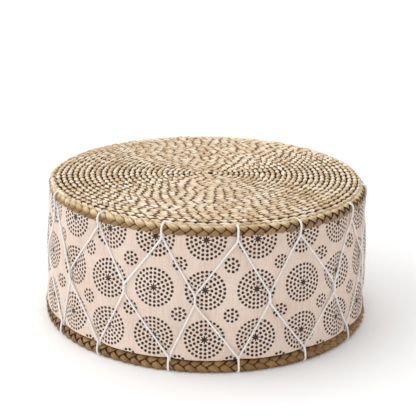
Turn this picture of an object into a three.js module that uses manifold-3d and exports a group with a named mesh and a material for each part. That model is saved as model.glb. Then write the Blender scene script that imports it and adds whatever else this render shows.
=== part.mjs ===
// A low round mudda stool: a woven reed seat and base, each edged with a thick reed plait, a core of
// tied reed bundles wrapped in wadding, a printed cotton cover round the side, and one white cord
// that laces the two plaits together in a net of diamonds and pulls the cover in where it runs.
// Millimetres, +Z up. The origin is the middle of the underside, and the front faces -Y.
import * as THREE from "three";
import { mergeVertices } from "three/addons/utils/BufferGeometryUtils.js";
import Module from "manifold-3d";

const wasm = await Module();
wasm.setup();

const TURN = 2 * Math.PI;
const HALF_SHARE = 0.5;

// Overall sizes.
const STOOL_HEIGHT = 196;
const SEAT_RADIUS = 222; // to the outer face of the seat plait
const BASE_FLARE = 8; // how much further out the base plait's outer face lies
const FIT_GAP = 0.3; // what pieces that touch keep between them

// The plaits that bind the two edges.
const PLAIT_WIDTH = 14;
const SEAT_PLAIT_HEIGHT = 12.8;
const SEAT_PLAIT_DROP = 2.2; // how far its top lies below the seat
const BASE_PLAIT_HEIGHT = 15.5;
const PLAIT_FLAT_SHARE = 0.5; // the flat middle of each face, as a share of the face

// The seat's winding of reed rope.
const SEAT_TURNS = 24;
const STEPS_PER_TURN = 24;
const ROPE_SIDES = 6;
const ROPE_GAP = 0.7; // between one turn and the next
const FIRST_TURN_RADIUS = 9;
const TAIL_BEND_RADIUS = 5;
const TAIL_BEND_STEPS = 3;
const SEAM_DEGREES = 180; // where the winding starts and ends, at the back

// The base mat: flat plaits laid as rings, one inside the other, and sewn edge to edge.
const BASE_MAT_THICKNESS = 6.4;
const BASE_MAT_RINGS = 10;
const MAT_GROOVE_DEPTH = 2.4; // where two rings are sewn together, on the underside
const MAT_GROOVE_WIDTH = 7;

// The lacing cord.
const CORD_DIAMETER = 2.6;
const CORD_SIDES = 5;
const LOOPS = 15; // loops round each plait
const LACING_PHASE_DEGREES = 10; // the first loop, from the front towards +X
const SEAT_JUNCTION_INSET = 7.5; // from the cover's upper edge to where two legs meet
const BASE_JUNCTION_INSET = 4; // from its lower edge to where two legs meet
const CROSSING_HEIGHT = 98; // the middle of the crossings
const CROSSING_LENGTH = 12; // how long two legs run together
const STRAND_GAP = 0.5; // between the two strands at a loop
const CORD_SINK = 3.4; // how far the taut cord draws in the cover, and a plait where it goes through
const PLAIT_SINK = 1.2; // how far it draws in a plait's open faces
const KNOT_LENGTH = 8;
const KNOT_DIAMETER = 5.2;
const KNOT_END_SHARE = 0.8; // the knot's end faces, as a share of its thickness
const KNOT_SIDES = 8;
const KNOT_LEG = 6; // the leg that holds the knot, at the back

// The cover and the padding behind it.
const COVER_INSET = 1; // of the cover's edge from the plait's outer face
const COVER_BELLY = 1.6; // how far the padded side swells at half height
const CLOTH_THICKNESS = 1.2;
const WADDING_THICKNESS = 20; // at its narrower end
const COLUMNS_PER_LOOP = 6;

// The core.
const HOOP_DIAMETER = 8;
const HOOP_SIDES = 5;
const HOOP_INSET = 16; // from the core's ends to the hoops
const BUNDLE_SIDES = 6;
const BUNDLE_WAIST = 2; // how much thinner a bundle is where it is tied
const OUTER_BUNDLES = 12;
const INNER_BUNDLES = 6;

// Facets round the plain discs and rings.
const PAD_SEGMENTS = 48;
const BASE_SEGMENTS = 24;
const WADDING_SEGMENTS = 60;

// Finishes.
const STRAW = new THREE.MeshStandardMaterial({ color: 0xd6bf92, roughness: 0.8, metalness: 0 });
const DARK_REED = new THREE.MeshStandardMaterial({ color: 0xa07c4a, roughness: 0.75, metalness: 0 });
const COTTON = new THREE.MeshStandardMaterial({ color: 0xdcc6b8, roughness: 0.95, metalness: 0 });
const PALE_FIBRE = new THREE.MeshStandardMaterial({ color: 0xeae2d2, roughness: 1, metalness: 0 });
const COIR = new THREE.MeshStandardMaterial({ color: 0x8c6a42, roughness: 1, metalness: 0 });
const RAW_REED = new THREE.MeshStandardMaterial({ color: 0xb99a62, roughness: 0.85, metalness: 0 });
const CANE = new THREE.MeshStandardMaterial({ color: 0xc49a5c, roughness: 0.6, metalness: 0 });
const WHITE_CORD = new THREE.MeshStandardMaterial({ color: 0xf2efec, roughness: 0.85, metalness: 0 });

// Worked out from the sizes above.
const BASE_RADIUS = SEAT_RADIUS + BASE_FLARE;
const CORD_RADIUS = CORD_DIAMETER / 2;
const COLUMNS = LOOPS * COLUMNS_PER_LOOP;
const LOOP_ANGLE = TURN / LOOPS;
const COLUMN_ANGLE = TURN / COLUMNS;
const LACING_PHASE = THREE.MathUtils.degToRad(LACING_PHASE_DEGREES);
const chordShare = Math.cos(COLUMN_ANGLE / 2); // a flat's distance from the axis, against its corners'

// Each plait's middle, its half sizes, the side that it turns away from the cover, and how far a loop
// draws in that side. The base plait stands on it, so the cord lies inside the plait's own depth.
const seatPlait = {
  radius: SEAT_RADIUS - PLAIT_WIDTH / 2,
  height: STOOL_HEIGHT - SEAT_PLAIT_DROP - SEAT_PLAIT_HEIGHT / 2,
  halfWidth: PLAIT_WIDTH / 2,
  halfHeight: SEAT_PLAIT_HEIGHT / 2,
  away: 1,
  awaySink: PLAIT_SINK,
};
const basePlait = {
  radius: BASE_RADIUS - PLAIT_WIDTH / 2,
  height: BASE_PLAIT_HEIGHT / 2,
  halfWidth: PLAIT_WIDTH / 2,
  halfHeight: BASE_PLAIT_HEIGHT / 2,
  away: -1,
  awaySink: CORD_SINK,
};
const seatPlaitUnder = seatPlait.height - seatPlait.halfHeight;
const seatEdge = (SEAT_RADIUS - PLAIT_WIDTH) * chordShare - FIT_GAP;
const baseEdge = (BASE_RADIUS - PLAIT_WIDTH) * chordShare - FIT_GAP;
const sideTop = seatPlaitUnder - FIT_GAP; // what stands between the plaits ends here
const sideBottom = BASE_PLAIT_HEIGHT + FIT_GAP; // and starts here

// A point at an angle from the front, as seen from above, turning towards +X.
const around = (angle, radius, z) =>
  new THREE.Vector3(radius * Math.sin(angle), -radius * Math.cos(angle), z);

// A geometry from points and triangles, turned so that its faces point out.
function closedGeometry(points, triangles) {
  const volume = triangles.reduce((sum, [a, b, c]) => {
    const normal = new THREE.Vector3().crossVectors(points[b], points[c]);
    return sum + points[a].dot(normal);
  }, 0);
  const outward = volume < 0 ? triangles.map(([a, b, c]) => [a, c, b]) : triangles;
  const geometry = new THREE.BufferGeometry().setFromPoints(points);
  geometry.setIndex(outward.flat());
  geometry.computeVertexNormals();
  return geometry;
}

// A ring round the axis. sectionAt gives the section's [radius, z] corners at a column; all columns
// have as many corners. followSunk splits each facet along the diagonal that lies nearer the axis.
function ringGeometry(columns, sectionAt, phase = 0, followSunk = false) {
  const points = [];
  const triangles = [];
  const corners = sectionAt(0).length;
  for (let column = 0; column < columns; column += 1) {
    const angle = phase + (TURN * column) / columns;
    sectionAt(column).forEach(([radius, z]) => points.push(around(angle, radius, z)));
  }
  const index = (column, corner) => (column % columns) * corners + (corner % corners);
  const fromAxis = (a, b) => {
    const middle = points[a].clone().add(points[b]);
    return Math.hypot(middle.x, middle.y);
  };
  for (let column = 0; column < columns; column += 1) {
    for (let corner = 0; corner < corners; corner += 1) {
      const a = index(column, corner);
      const b = index(column + 1, corner);
      const c = index(column + 1, corner + 1);
      const d = index(column, corner + 1);
      if (followSunk && fromAxis(b, d) < fromAxis(a, c)) {
        triangles.push([a, b, d], [b, c, d]);
      } else {
        triangles.push([a, b, c], [a, c, d]);
      }
    }
  }
  return closedGeometry(points, triangles);
}

// A tube with closed ends along a line of points. Its rings are carried along without twisting from
// the one at the given index, where a flat of the tube faces the normal.
function tubeGeometry(line, radius, sides, normal, index = 0) {
  const directions = line.map((point, i) => {
    const before = line[Math.max(i - 1, 0)];
    const after = line[Math.min(i + 1, line.length - 1)];
    const arriving = point.clone().sub(before).normalize();
    const leaving = after.clone().sub(point).normalize();
    return arriving.add(leaving).normalize();
  });
  const normals = [];
  const level = (vector, i) => vector.projectOnPlane(directions[i]).normalize();
  normals[index] = level(normal.clone(), index);
  const carry = (from, to) => {
    const turn = new THREE.Quaternion().setFromUnitVectors(directions[from], directions[to]);
    normals[to] = level(normals[from].clone().applyQuaternion(turn), to);
  };
  for (let i = index + 1; i < line.length; i += 1) carry(i - 1, i);
  for (let i = index - 1; i >= 0; i -= 1) carry(i + 1, i);

  const points = [];
  const triangles = [];
  line.forEach((point, i) => {
    const across = new THREE.Vector3().crossVectors(directions[i], normals[i]);
    for (let side = 0; side < sides; side += 1) {
      const angle = (TURN * (side + HALF_SHARE)) / sides;
      points.push(
        point
          .clone()
          .addScaledVector(normals[i], radius * Math.cos(angle))
          .addScaledVector(across, radius * Math.sin(angle)),
      );
    }
  });
  for (let ring = 0; ring < line.length - 1; ring += 1) {
    for (let side = 0; side < sides; side += 1) {
      const a = ring * sides + side;
      const b = ring * sides + ((side + 1) % sides);
      triangles.push([a, b, b + sides], [a, b + sides, a + sides]);
    }
  }
  const last = (line.length - 1) * sides;
  for (let side = 1; side < sides - 1; side += 1) {
    triangles.push([0, side + 1, side], [last, last + side, last + side + 1]);
  }
  return closedGeometry(points, triangles);
}

// The least distance between the surfaces of a tube's stretches that lie further apart along it than
// the given length, measured on points spaced along its line.
function leastGap(line, diameter, apart, spacing) {
  const samples = [];
  let travelled = 0;
  for (let i = 1; i < line.length; i += 1) {
    const length = line[i].distanceTo(line[i - 1]);
    const parts = Math.max(1, Math.ceil(length / spacing));
    for (let part = 0; part < parts; part += 1) {
      const share = part / parts;
      samples.push({
        point: line[i - 1].clone().lerp(line[i], share),
        along: travelled + length * share,
      });
    }
    travelled += length;
  }
  const cells = new Map();
  const cellOf = (value) => Math.floor(value / (2 * diameter));
  const key = (x, y, z) => `${x},${y},${z}`;
  samples.forEach((sample) => {
    const { x, y, z } = sample.point;
    const name = key(cellOf(x), cellOf(y), cellOf(z));
    if (!cells.has(name)) cells.set(name, []);
    cells.get(name).push(sample);
  });
  let least = Infinity;
  samples.forEach(({ point, along }) => {
    for (let x = cellOf(point.x) - 1; x <= cellOf(point.x) + 1; x += 1) {
      for (let y = cellOf(point.y) - 1; y <= cellOf(point.y) + 1; y += 1) {
        for (let z = cellOf(point.z) - 1; z <= cellOf(point.z) + 1; z += 1) {
          (cells.get(key(x, y, z)) || []).forEach((other) => {
            if (other.along - along > apart) {
              least = Math.min(least, point.distanceTo(other.point));
            }
          });
        }
      }
    }
  });
  return least - diameter;
}

function solidOf(geometry) {
  const bare = geometry.clone();
  bare.deleteAttribute("normal");
  bare.deleteAttribute("uv");
  const merged = mergeVertices(bare);
  return new wasm.Manifold(
    new wasm.Mesh({
      numProp: 3,
      vertProperties: merged.attributes.position.array,
      triVerts: new Uint32Array(merged.index.array),
    }),
  );
}

function geometryOf(solid) {
  const mesh = solid.getMesh();
  const geometry = new THREE.BufferGeometry();
  geometry.setAttribute("position", new THREE.BufferAttribute(mesh.vertProperties, mesh.numProp));
  geometry.setIndex(new THREE.BufferAttribute(mesh.triVerts, 1));
  geometry.computeVertexNormals();
  return geometry;
}

// A shape turned round the Z axis, from [radius, z] points that start and end on the axis.
function turned(profile, segments) {
  const outline = profile.map(([radius, z]) => new THREE.Vector2(radius, z));
  return new THREE.LatheGeometry(outline, segments).rotateX(Math.PI / 2);
}

function piece(name, geometry, material) {
  const mesh = new THREE.Mesh(geometry, material);
  mesh.name = name;
  return mesh;
}

// The eight corners of a plait's section, from the lower outer one upwards. Where a loop of the cord
// goes round it, each face is drawn in.
function plaitSection(plait, looped) {
  const sink = (depth) => (looped ? depth : 0);
  const outer = plait.halfWidth - sink(PLAIT_SINK);
  const inner = plait.halfWidth - sink(CORD_SINK);
  const away = plait.halfHeight - sink(plait.awaySink);
  const toCover = plait.halfHeight - sink(CORD_SINK);
  const [top, bottom] = plait.away > 0 ? [away, toCover] : [toCover, away];
  const flat = (size) => size * PLAIT_FLAT_SHARE;
  return [
    [outer, -flat(bottom)],
    [outer, flat(top)],
    [flat(outer), top],
    [-flat(inner), top],
    [-inner, flat(top)],
    [-inner, -flat(bottom)],
    [-flat(inner), -bottom],
    [flat(outer), -bottom],
  ].map(([across, up]) => [plait.radius + across, plait.height + up]);
}

function plaitGeometry(plait) {
  const sectionAt = (column) => plaitSection(plait, column % COLUMNS_PER_LOOP === 0);
  return ringGeometry(COLUMNS, sectionAt, LACING_PHASE);
}

// The rope of the seat. Both of its ends turn down through the pad and stop square on what is below.
const seatPitch =
  (seatEdge + ROPE_GAP / 2 - FIRST_TURN_RADIUS) / (SEAT_TURNS + HALF_SHARE);
const ropeDiameter = seatPitch - ROPE_GAP;
const ropeHalfHeight = (ropeDiameter / 2) * Math.cos(Math.PI / ROPE_SIDES);
const ropeLevel = STOOL_HEIGHT - ropeHalfHeight;
const seam = THREE.MathUtils.degToRad(SEAM_DEGREES);

// A quarter bend that comes up along +Z and leaves level along heading, ending at the given point.
function risingBend(end, heading) {
  const line = [];
  for (let step = 0; step < TAIL_BEND_STEPS; step += 1) {
    const angle = (Math.PI / 2) * (1 - step / TAIL_BEND_STEPS);
    const back = TAIL_BEND_RADIUS * Math.sin(angle);
    const drop = TAIL_BEND_RADIUS * (1 - Math.cos(angle));
    const point = end.clone().addScaledVector(heading, -back);
    point.z -= drop;
    line.push(point);
  }
  return line;
}

function seatRopeLine() {
  const alongSpiral = (turns) =>
    around(seam + TURN * turns, FIRST_TURN_RADIUS + seatPitch * turns, ropeLevel);

  // The start curls in from the first turn by a quarter of a small circle.
  const curlRadius = FIRST_TURN_RADIUS / 2;
  const curlCentre = around(seam, curlRadius, ropeLevel);
  const onCurl = (share) => {
    const angle = seam - (Math.PI / 2) * share;
    return curlCentre.clone().add(around(angle, curlRadius, 0));
  };
  const curl = [onCurl(1), onCurl(2 / TAIL_BEND_STEPS), onCurl(1 / TAIL_BEND_STEPS)];
  const towardsSeam = around(seam, 1, 0);
  const start = risingBend(curl[0], towardsSeam);

  const spiral = [];
  for (let step = 0; step <= SEAT_TURNS * STEPS_PER_TURN; step += 1) {
    spiral.push(alongSpiral(step / STEPS_PER_TURN));
  }
  const end = spiral[spiral.length - 1];
  const backwards = spiral[spiral.length - 2].clone().sub(end).normalize();
  const finish = risingBend(end, backwards).reverse();

  const footUnder = (point) => new THREE.Vector3(point.x, point.y, seatPlaitUnder);
  return [
    footUnder(start[0]),
    ...start,
    ...curl,
    ...spiral,
    ...finish,
    footUnder(finish[finish.length - 1]),
  ];
}

const ropeLine = seatRopeLine();
const tailPoints = TAIL_BEND_STEPS + 2; // its foot, the points of its bend and where it is level
const upward = new THREE.Vector3(0, 0, 1);
const seatRope = tubeGeometry(
  ropeLine,
  ropeDiameter / 2,
  ROPE_SIDES,
  upward,
  Math.floor(ropeLine.length / 2),
);
console.log(
  "seat rope: least gap to itself",
  leastGap(ropeLine, ropeDiameter, 2 * ropeDiameter, ropeDiameter / 2).toFixed(2),
  "mm",
);

// The pad under the seat, with a hole for each of the rope's ends that follows its bend.
function seatPadGeometry() {
  const top = STOOL_HEIGHT - 2 * ropeHalfHeight - FIT_GAP;
  const disc = turned(
    [
      [0, seatPlaitUnder],
      [seatEdge, seatPlaitUnder],
      [seatEdge, top],
      [0, top],
    ],
    PAD_SEGMENTS,
  );
  const tails = [ropeLine.slice(0, tailPoints), ropeLine.slice(-tailPoints).reverse()];
  let pad = solidOf(disc);
  tails.forEach((tail) => {
    const below = tail[0].clone();
    below.z -= FIT_GAP;
    const line = [below, ...tail.slice(1)];
    const radius = ropeDiameter / 2 + FIT_GAP;
    const hole = tubeGeometry(line, radius, ROPE_SIDES, upward, line.length - 1);
    pad = pad.subtract(solidOf(hole));
  });
  return geometryOf(pad);
}

// The cover. Its corners stand in rows that the cord's straight legs pass through.
const junctionTop = sideTop - SEAT_JUNCTION_INSET;
const junctionBottom = sideBottom + BASE_JUNCTION_INSET;
const crossingTop = CROSSING_HEIGHT + CROSSING_LENGTH / 2;
const crossingBottom = CROSSING_HEIGHT - CROSSING_LENGTH / 2;
const columnsToCrossing = COLUMNS_PER_LOOP / 2;
const upperRow = (column) =>
  THREE.MathUtils.lerp(junctionTop, crossingTop, column / columnsToCrossing);
const lowerRow = (column) =>
  THREE.MathUtils.lerp(junctionBottom, crossingBottom, column / columnsToCrossing);

// The side's straight slope from the base plait to the seat plait.
function slopeRadius(z) {
  const share = (z - sideBottom) / (sideTop - sideBottom);
  return THREE.MathUtils.lerp(BASE_RADIUS, SEAT_RADIUS, share) - COVER_INSET;
}

// The cover's outer radius between the cords.
function coverRadius(z) {
  const share = (z - sideBottom) / (sideTop - sideBottom);
  return slopeRadius(z) + COVER_BELLY * Math.sin(Math.PI * share);
}

// How many columns lie between a column and the nearest loop.
function columnsFromLoop(column) {
  const within = column % COLUMNS_PER_LOOP;
  return Math.min(within, COLUMNS_PER_LOOP - within);
}

function coverSection(column) {
  const near = columnsFromLoop(column);
  const outside = [[sideBottom, near === 0]];
  for (let row = 0; row <= columnsToCrossing; row += 1) {
    outside.push([lowerRow(row), near === row]);
  }
  for (let row = columnsToCrossing; row >= 0; row -= 1) {
    outside.push([upperRow(row), near === row]);
  }
  outside.push([sideTop, near === 0]);
  const inside = [sideTop, sideBottom].map((z) => [
    slopeRadius(z) - CORD_SINK - CLOTH_THICKNESS,
    z,
  ]);
  return [
    ...outside.map(([z, sunk]) => [coverRadius(z) - (sunk ? CORD_SINK : 0), z]),
    ...inside,
  ];
}

const coverGeometry = ringGeometry(COLUMNS, coverSection, LACING_PHASE, true);

// The wadding between the cover and the core, straight inside and sloped outside.
const waddingOuter = (z) => slopeRadius(z) - CORD_SINK - CLOTH_THICKNESS - FIT_GAP;
const narrowEnd = Math.min(waddingOuter(sideTop), waddingOuter(sideBottom));
const waddingInner = narrowEnd - WADDING_THICKNESS;
const waddingGeometry = ringGeometry(WADDING_SEGMENTS, () => [
  [waddingOuter(sideBottom), sideBottom],
  [waddingOuter(sideTop), sideTop],
  [waddingInner / Math.cos(Math.PI / WADDING_SEGMENTS), sideTop],
  [waddingInner / Math.cos(Math.PI / WADDING_SEGMENTS), sideBottom],
]);

// The core: one bundle in the middle, six round it and twelve round those, held by two cane hoops.
const hoopRadius = waddingInner - FIT_GAP - HOOP_DIAMETER / 2;
const coreRadius = hoopRadius - HOOP_DIAMETER / 2 - FIT_GAP;
const outerRingShare = 1 / (2 * Math.sin(Math.PI / OUTER_BUNDLES));
const bundleSpacing = (coreRadius + FIT_GAP / 2) / (outerRingShare + HALF_SHARE);
const bundleRadius = (bundleSpacing - FIT_GAP) / 2;
const outerRingRadius = coreRadius - bundleRadius;

function bundleGeometry() {
  const middle = (sideBottom + sideTop) / 2;
  return turned(
    [
      [0, sideBottom],
      [bundleRadius, sideBottom],
      [bundleRadius - BUNDLE_WAIST, middle],
      [bundleRadius, sideTop],
      [0, sideTop],
    ],
    BUNDLE_SIDES,
  );
}

function bundlePlaces() {
  const places = [{ angle: 0, radius: 0 }];
  for (let i = 0; i < INNER_BUNDLES; i += 1) {
    const angle = (TURN * i) / INNER_BUNDLES + Math.PI / OUTER_BUNDLES;
    places.push({ angle, radius: bundleSpacing });
  }
  for (let i = 0; i < OUTER_BUNDLES; i += 1) {
    places.push({ angle: (TURN * i) / OUTER_BUNDLES, radius: outerRingRadius });
  }
  return places;
}

function hoopGeometry(z) {
  const section = [];
  for (let side = 0; side < HOOP_SIDES; side += 1) {
    const angle = (TURN * side) / HOOP_SIDES;
    section.push([
      hoopRadius - (HOOP_DIAMETER / 2) * Math.cos(angle),
      z + (HOOP_DIAMETER / 2) * Math.sin(angle),
    ]);
  }
  return ringGeometry(2 * OUTER_BUNDLES, () => section);
}

// The mat that closes the underside: flat from one groove to the next, and half a groove at its edge.
function baseMatProfile() {
  const half = MAT_GROOVE_WIDTH / 2;
  const profile = [[0, 0]];
  for (let ring = 1; ring < BASE_MAT_RINGS; ring += 1) {
    const seamRadius = (baseEdge * ring) / BASE_MAT_RINGS;
    profile.push([seamRadius - half, 0], [seamRadius, MAT_GROOVE_DEPTH], [seamRadius + half, 0]);
  }
  profile.push(
    [baseEdge - half, 0],
    [baseEdge, MAT_GROOVE_DEPTH],
    [baseEdge, BASE_MAT_THICKNESS],
    [0, BASE_MAT_THICKNESS],
  );
  return profile;
}

const baseMatGeometry = turned(baseMatProfile(), BASE_SEGMENTS);
const basePadGeometry = turned(
  [
    [0, BASE_MAT_THICKNESS + FIT_GAP],
    [baseEdge, BASE_MAT_THICKNESS + FIT_GAP],
    [baseEdge, BASE_PLAIT_HEIGHT],
    [0, BASE_PLAIT_HEIGHT],
  ],
  BASE_SEGMENTS,
);

// The lacing. A leg runs from a loop on one plait to the next loop on the other, so the cord goes
// twice round the stool before it meets itself. At each crossing one leg passes outside the other.
const strandOffset = (CORD_DIAMETER + STRAND_GAP) / 2; // of each strand from the middle of its loop
const columnArc = SEAT_RADIUS * COLUMN_ANGLE;
// How high a strand's middle lies over the bottom of the dip that the loop makes.
const liftInDip = (sink) =>
  CORD_RADIUS + FIT_GAP + (sink * (strandOffset + CORD_RADIUS)) / columnArc;
const liftOnLeg = CORD_RADIUS + FIT_GAP + FIT_GAP / 2;

const onCover = (angle, z, lift) => around(angle, coverRadius(z) - CORD_SINK + lift, z);

// A loop goes up the plait's outer face, over it, down behind it and out between it and the cover.
function loopLine(plait, angle) {
  const outer = plait.halfWidth - PLAIT_SINK + liftInDip(PLAIT_SINK);
  const inner = plait.halfWidth - CORD_SINK + liftInDip(CORD_SINK);
  const away = plait.halfHeight - plait.awaySink + liftInDip(plait.awaySink);
  const toCover = plait.halfHeight - CORD_SINK + liftInDip(CORD_SINK);
  const coverEdge = plait.away > 0 ? sideTop : sideBottom;
  const exit = coverRadius(coverEdge) - CORD_SINK + liftInDip(CORD_SINK) - plait.radius;
  const corners = [
    [outer, -toCover * PLAIT_FLAT_SHARE],
    [outer, away * PLAIT_FLAT_SHARE],
    [outer * PLAIT_FLAT_SHARE, away],
    [-inner, away],
    [-inner, -toCover],
    [exit, -toCover],
  ];
  return corners.map(([across, fromCover], i) => {
    const share = i / (corners.length - 1);
    const offset = THREE.MathUtils.lerp(-strandOffset, strandOffset, share);
    const radius = plait.radius + across;
    return around(angle + offset / radius, radius, plait.height + plait.away * fromCover);
  });
}

// The eight points of a leg. down is true for a leg that starts at the seat.
function legLine(leg, down) {
  const startAngle = LACING_PHASE + LOOP_ANGLE * leg;
  const outside = (leg % LOOPS) % 2 === (down ? 0 : 1);
  const crossingLift = liftOnLeg + (outside ? CORD_DIAMETER + FIT_GAP : 0);
  const firstRow = down ? upperRow : lowerRow;
  const lastRow = down ? lowerRow : upperRow;
  const line = [];
  for (let column = 0; column <= columnsToCrossing; column += 1) {
    const z = firstRow(column);
    const atLoop = column === 0;
    const shift = atLoop ? strandOffset / coverRadius(z) : 0;
    const atCrossing = column === columnsToCrossing;
    const lift = atLoop ? liftInDip(CORD_SINK) : atCrossing ? crossingLift : liftOnLeg;
    line.push(onCover(startAngle + COLUMN_ANGLE * column + shift, z, lift));
  }
  for (let column = columnsToCrossing; column >= 0; column -= 1) {
    const z = lastRow(column);
    const atLoop = column === 0;
    const shift = atLoop ? -strandOffset / coverRadius(z) : 0;
    const atCrossing = column === columnsToCrossing;
    const lift = atLoop ? liftInDip(CORD_SINK) : atCrossing ? crossingLift : liftOnLeg;
    const angle = startAngle + LOOP_ANGLE - COLUMN_ANGLE * column + shift;
    line.push(onCover(angle, z, lift));
  }
  return line;
}

// The cord starts and ends at its knot, in the lower half of one leg.
function lacingLines() {
  const legs = 2 * LOOPS;
  const knotLeg = legLine(KNOT_LEG, KNOT_LEG % 2 === 0);
  const before = knotLeg[knotLeg.length - columnsToCrossing];
  const after = knotLeg[knotLeg.length - columnsToCrossing + 1];
  const direction = after.clone().sub(before).normalize();
  const middle = before.clone().lerp(after, HALF_SHARE);
  const halfKnot = KNOT_LENGTH / 2 + FIT_GAP;
  const line = [middle.clone().addScaledVector(direction, halfKnot)];
  for (let i = 0; i < legs; i += 1) {
    const leg = KNOT_LEG + i;
    const down = leg % 2 === 0;
    const legPoints = legLine(leg, down);
    const kept = i === 0 ? legPoints.slice(legPoints.length - columnsToCrossing + 1) : legPoints;
    const plait = down ? basePlait : seatPlait;
    const loopAngle = LACING_PHASE + LOOP_ANGLE * (leg + 1);
    line.push(...kept, ...loopLine(plait, loopAngle));
  }
  line.push(...knotLeg.slice(0, knotLeg.length - columnsToCrossing + 1));
  line.push(middle.clone().addScaledVector(direction, -halfKnot));
  return { line, middle, direction };
}

const lacing = lacingLines();
const cordGeometry = tubeGeometry(
  lacing.line,
  CORD_RADIUS,
  CORD_SIDES,
  lacing.middle.clone().setZ(0),
);
console.log(
  "lacing cord: least gap to itself",
  leastGap(lacing.line, CORD_DIAMETER, 3 * CORD_DIAMETER, CORD_RADIUS).toFixed(2),
  "mm",
);

function knotMesh() {
  const radius = KNOT_DIAMETER / 2;
  const geometry = turned(
    [
      [0, -KNOT_LENGTH / 2],
      [radius * KNOT_END_SHARE, -KNOT_LENGTH / 2],
      [radius, 0],
      [radius * KNOT_END_SHARE, KNOT_LENGTH / 2],
      [0, KNOT_LENGTH / 2],
    ],
    KNOT_SIDES,
  );
  const mesh = piece("lacing_knot", geometry, WHITE_CORD);
  const outward = lacing.middle.clone().setZ(0).normalize();
  mesh.quaternion.setFromUnitVectors(new THREE.Vector3(0, 0, 1), lacing.direction);
  mesh.position.copy(lacing.middle).addScaledVector(outward, radius - CORD_RADIUS);
  return mesh;
}

const stool = new THREE.Group();

const seat = new THREE.Group();
seat.add(
  piece("seat_spiral_rope", seatRope, STRAW),
  piece("seat_rim_plait", plaitGeometry(seatPlait), DARK_REED),
  piece("seat_pad", seatPadGeometry(), COIR),
);

const side = new THREE.Group();
side.add(
  piece("side_cover", coverGeometry, COTTON),
  piece("side_wadding", waddingGeometry, PALE_FIBRE),
);

const core = new THREE.Group();
bundlePlaces().forEach(({ angle, radius }, i) => {
  const number = String(i + 1).padStart(2, "0");
  const bundle = piece(`reed_bundle_${number}`, bundleGeometry(), RAW_REED);
  bundle.position.copy(around(angle, radius, 0));
  bundle.rotation.z = angle;
  core.add(bundle);
});
core.add(
  piece("core_hoop_upper", hoopGeometry(sideTop - HOOP_INSET), CANE),
  piece("core_hoop_lower", hoopGeometry(sideBottom + HOOP_INSET), CANE),
);

const base = new THREE.Group();
base.add(
  piece("base_mat", baseMatGeometry, STRAW),
  piece("base_pad", basePadGeometry, COIR),
  piece("base_rim_plait", plaitGeometry(basePlait), DARK_REED),
);

const cord = new THREE.Group();
cord.add(piece("lacing_cord", cordGeometry, WHITE_CORD), knotMesh());

stool.add(seat, side, core, base, cord);

export default stool;
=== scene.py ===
# %% [markdown]
# # A laced mudda stool
#
# This stool is a bundle of upright reeds, wrapped in wadding and a block-printed cotton cover. Its
# seat is wound from twined reed, and rings of flat plait round a small wound button close its
# underside. A thick plait binds each of the two, and one white cord laces these plaits together in a
# net of diamonds. The construction comes from a CAD model. Here each piece gets its real surface,
# made with numpy: a grid of points that a formula places, or a section carried along a path.

# %% Load the frame
import math

import bpy
import numpy as np
from mathutils import Euler, Matrix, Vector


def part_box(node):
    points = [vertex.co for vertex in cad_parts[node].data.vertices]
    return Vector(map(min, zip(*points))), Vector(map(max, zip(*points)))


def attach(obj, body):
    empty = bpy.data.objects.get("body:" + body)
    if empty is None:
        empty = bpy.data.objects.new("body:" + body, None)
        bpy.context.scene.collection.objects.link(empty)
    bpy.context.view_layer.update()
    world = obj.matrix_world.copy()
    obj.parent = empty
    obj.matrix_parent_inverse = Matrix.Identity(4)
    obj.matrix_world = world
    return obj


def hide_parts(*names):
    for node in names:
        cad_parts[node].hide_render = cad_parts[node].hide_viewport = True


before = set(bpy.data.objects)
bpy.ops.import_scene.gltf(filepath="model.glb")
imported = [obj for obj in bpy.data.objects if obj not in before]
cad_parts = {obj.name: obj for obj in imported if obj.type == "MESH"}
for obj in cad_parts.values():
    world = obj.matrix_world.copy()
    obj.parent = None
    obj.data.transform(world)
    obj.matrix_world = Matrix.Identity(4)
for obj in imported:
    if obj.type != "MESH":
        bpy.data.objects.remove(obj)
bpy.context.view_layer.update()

# %% [markdown]
# ## The sizes that everything follows
#
# The CAD nodes give the heights and the radii of the plaits, so they are read from there and not
# typed again. What the CAD model holds but a box can't show, such as how far the cord sinks in, is
# repeated here in metres.

# %% Sizes from the frame
MM = 0.001
TURN = 2 * math.pi

cover_low, cover_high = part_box("side_cover")
SEAT_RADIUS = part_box("seat_rim_plait")[1].x
BASE_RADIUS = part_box("base_rim_plait")[1].x
MIDDLE_RADIUS = (SEAT_RADIUS + BASE_RADIUS) / 2
SEAT_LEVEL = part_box("seat_spiral_rope")[1].z
SEAT_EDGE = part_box("seat_pad")[1].x
BASE_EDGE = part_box("base_mat")[1].x
SIDE_TOP = cover_high.z
SIDE_BOTTOM = cover_low.z
PLAIT_WIDTH = 14 * MM

COVER_INSET = 1 * MM
COVER_BELLY = 1.6 * MM
CLOTH_THICKNESS = 1.2 * MM
CORD_DIAMETER = 2.8 * MM
CORD_SINK = 3.4 * MM
PLAIT_SINK = 1.2 * MM
print("seat radius", round(SEAT_RADIUS, 4), "base radius", round(BASE_RADIUS, 4))

# %% [markdown]
# ## Camera
#
# The photograph was taken from in front and a little above. The camera's place, its tilts and its
# focal length were fitted to the outlines of the seat and the base.

# %% Camera
CAMERA_PLACE = (0, -1.333, 0.5785)
CAMERA_PITCH = math.radians(18.076)
CAMERA_YAW = math.radians(0.049)
CAMERA_ROLL = math.radians(1.264)
FOCAL_PIXELS = 979.3
PHOTO_PIXELS = 416
SENSOR_WIDTH = 36


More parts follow.
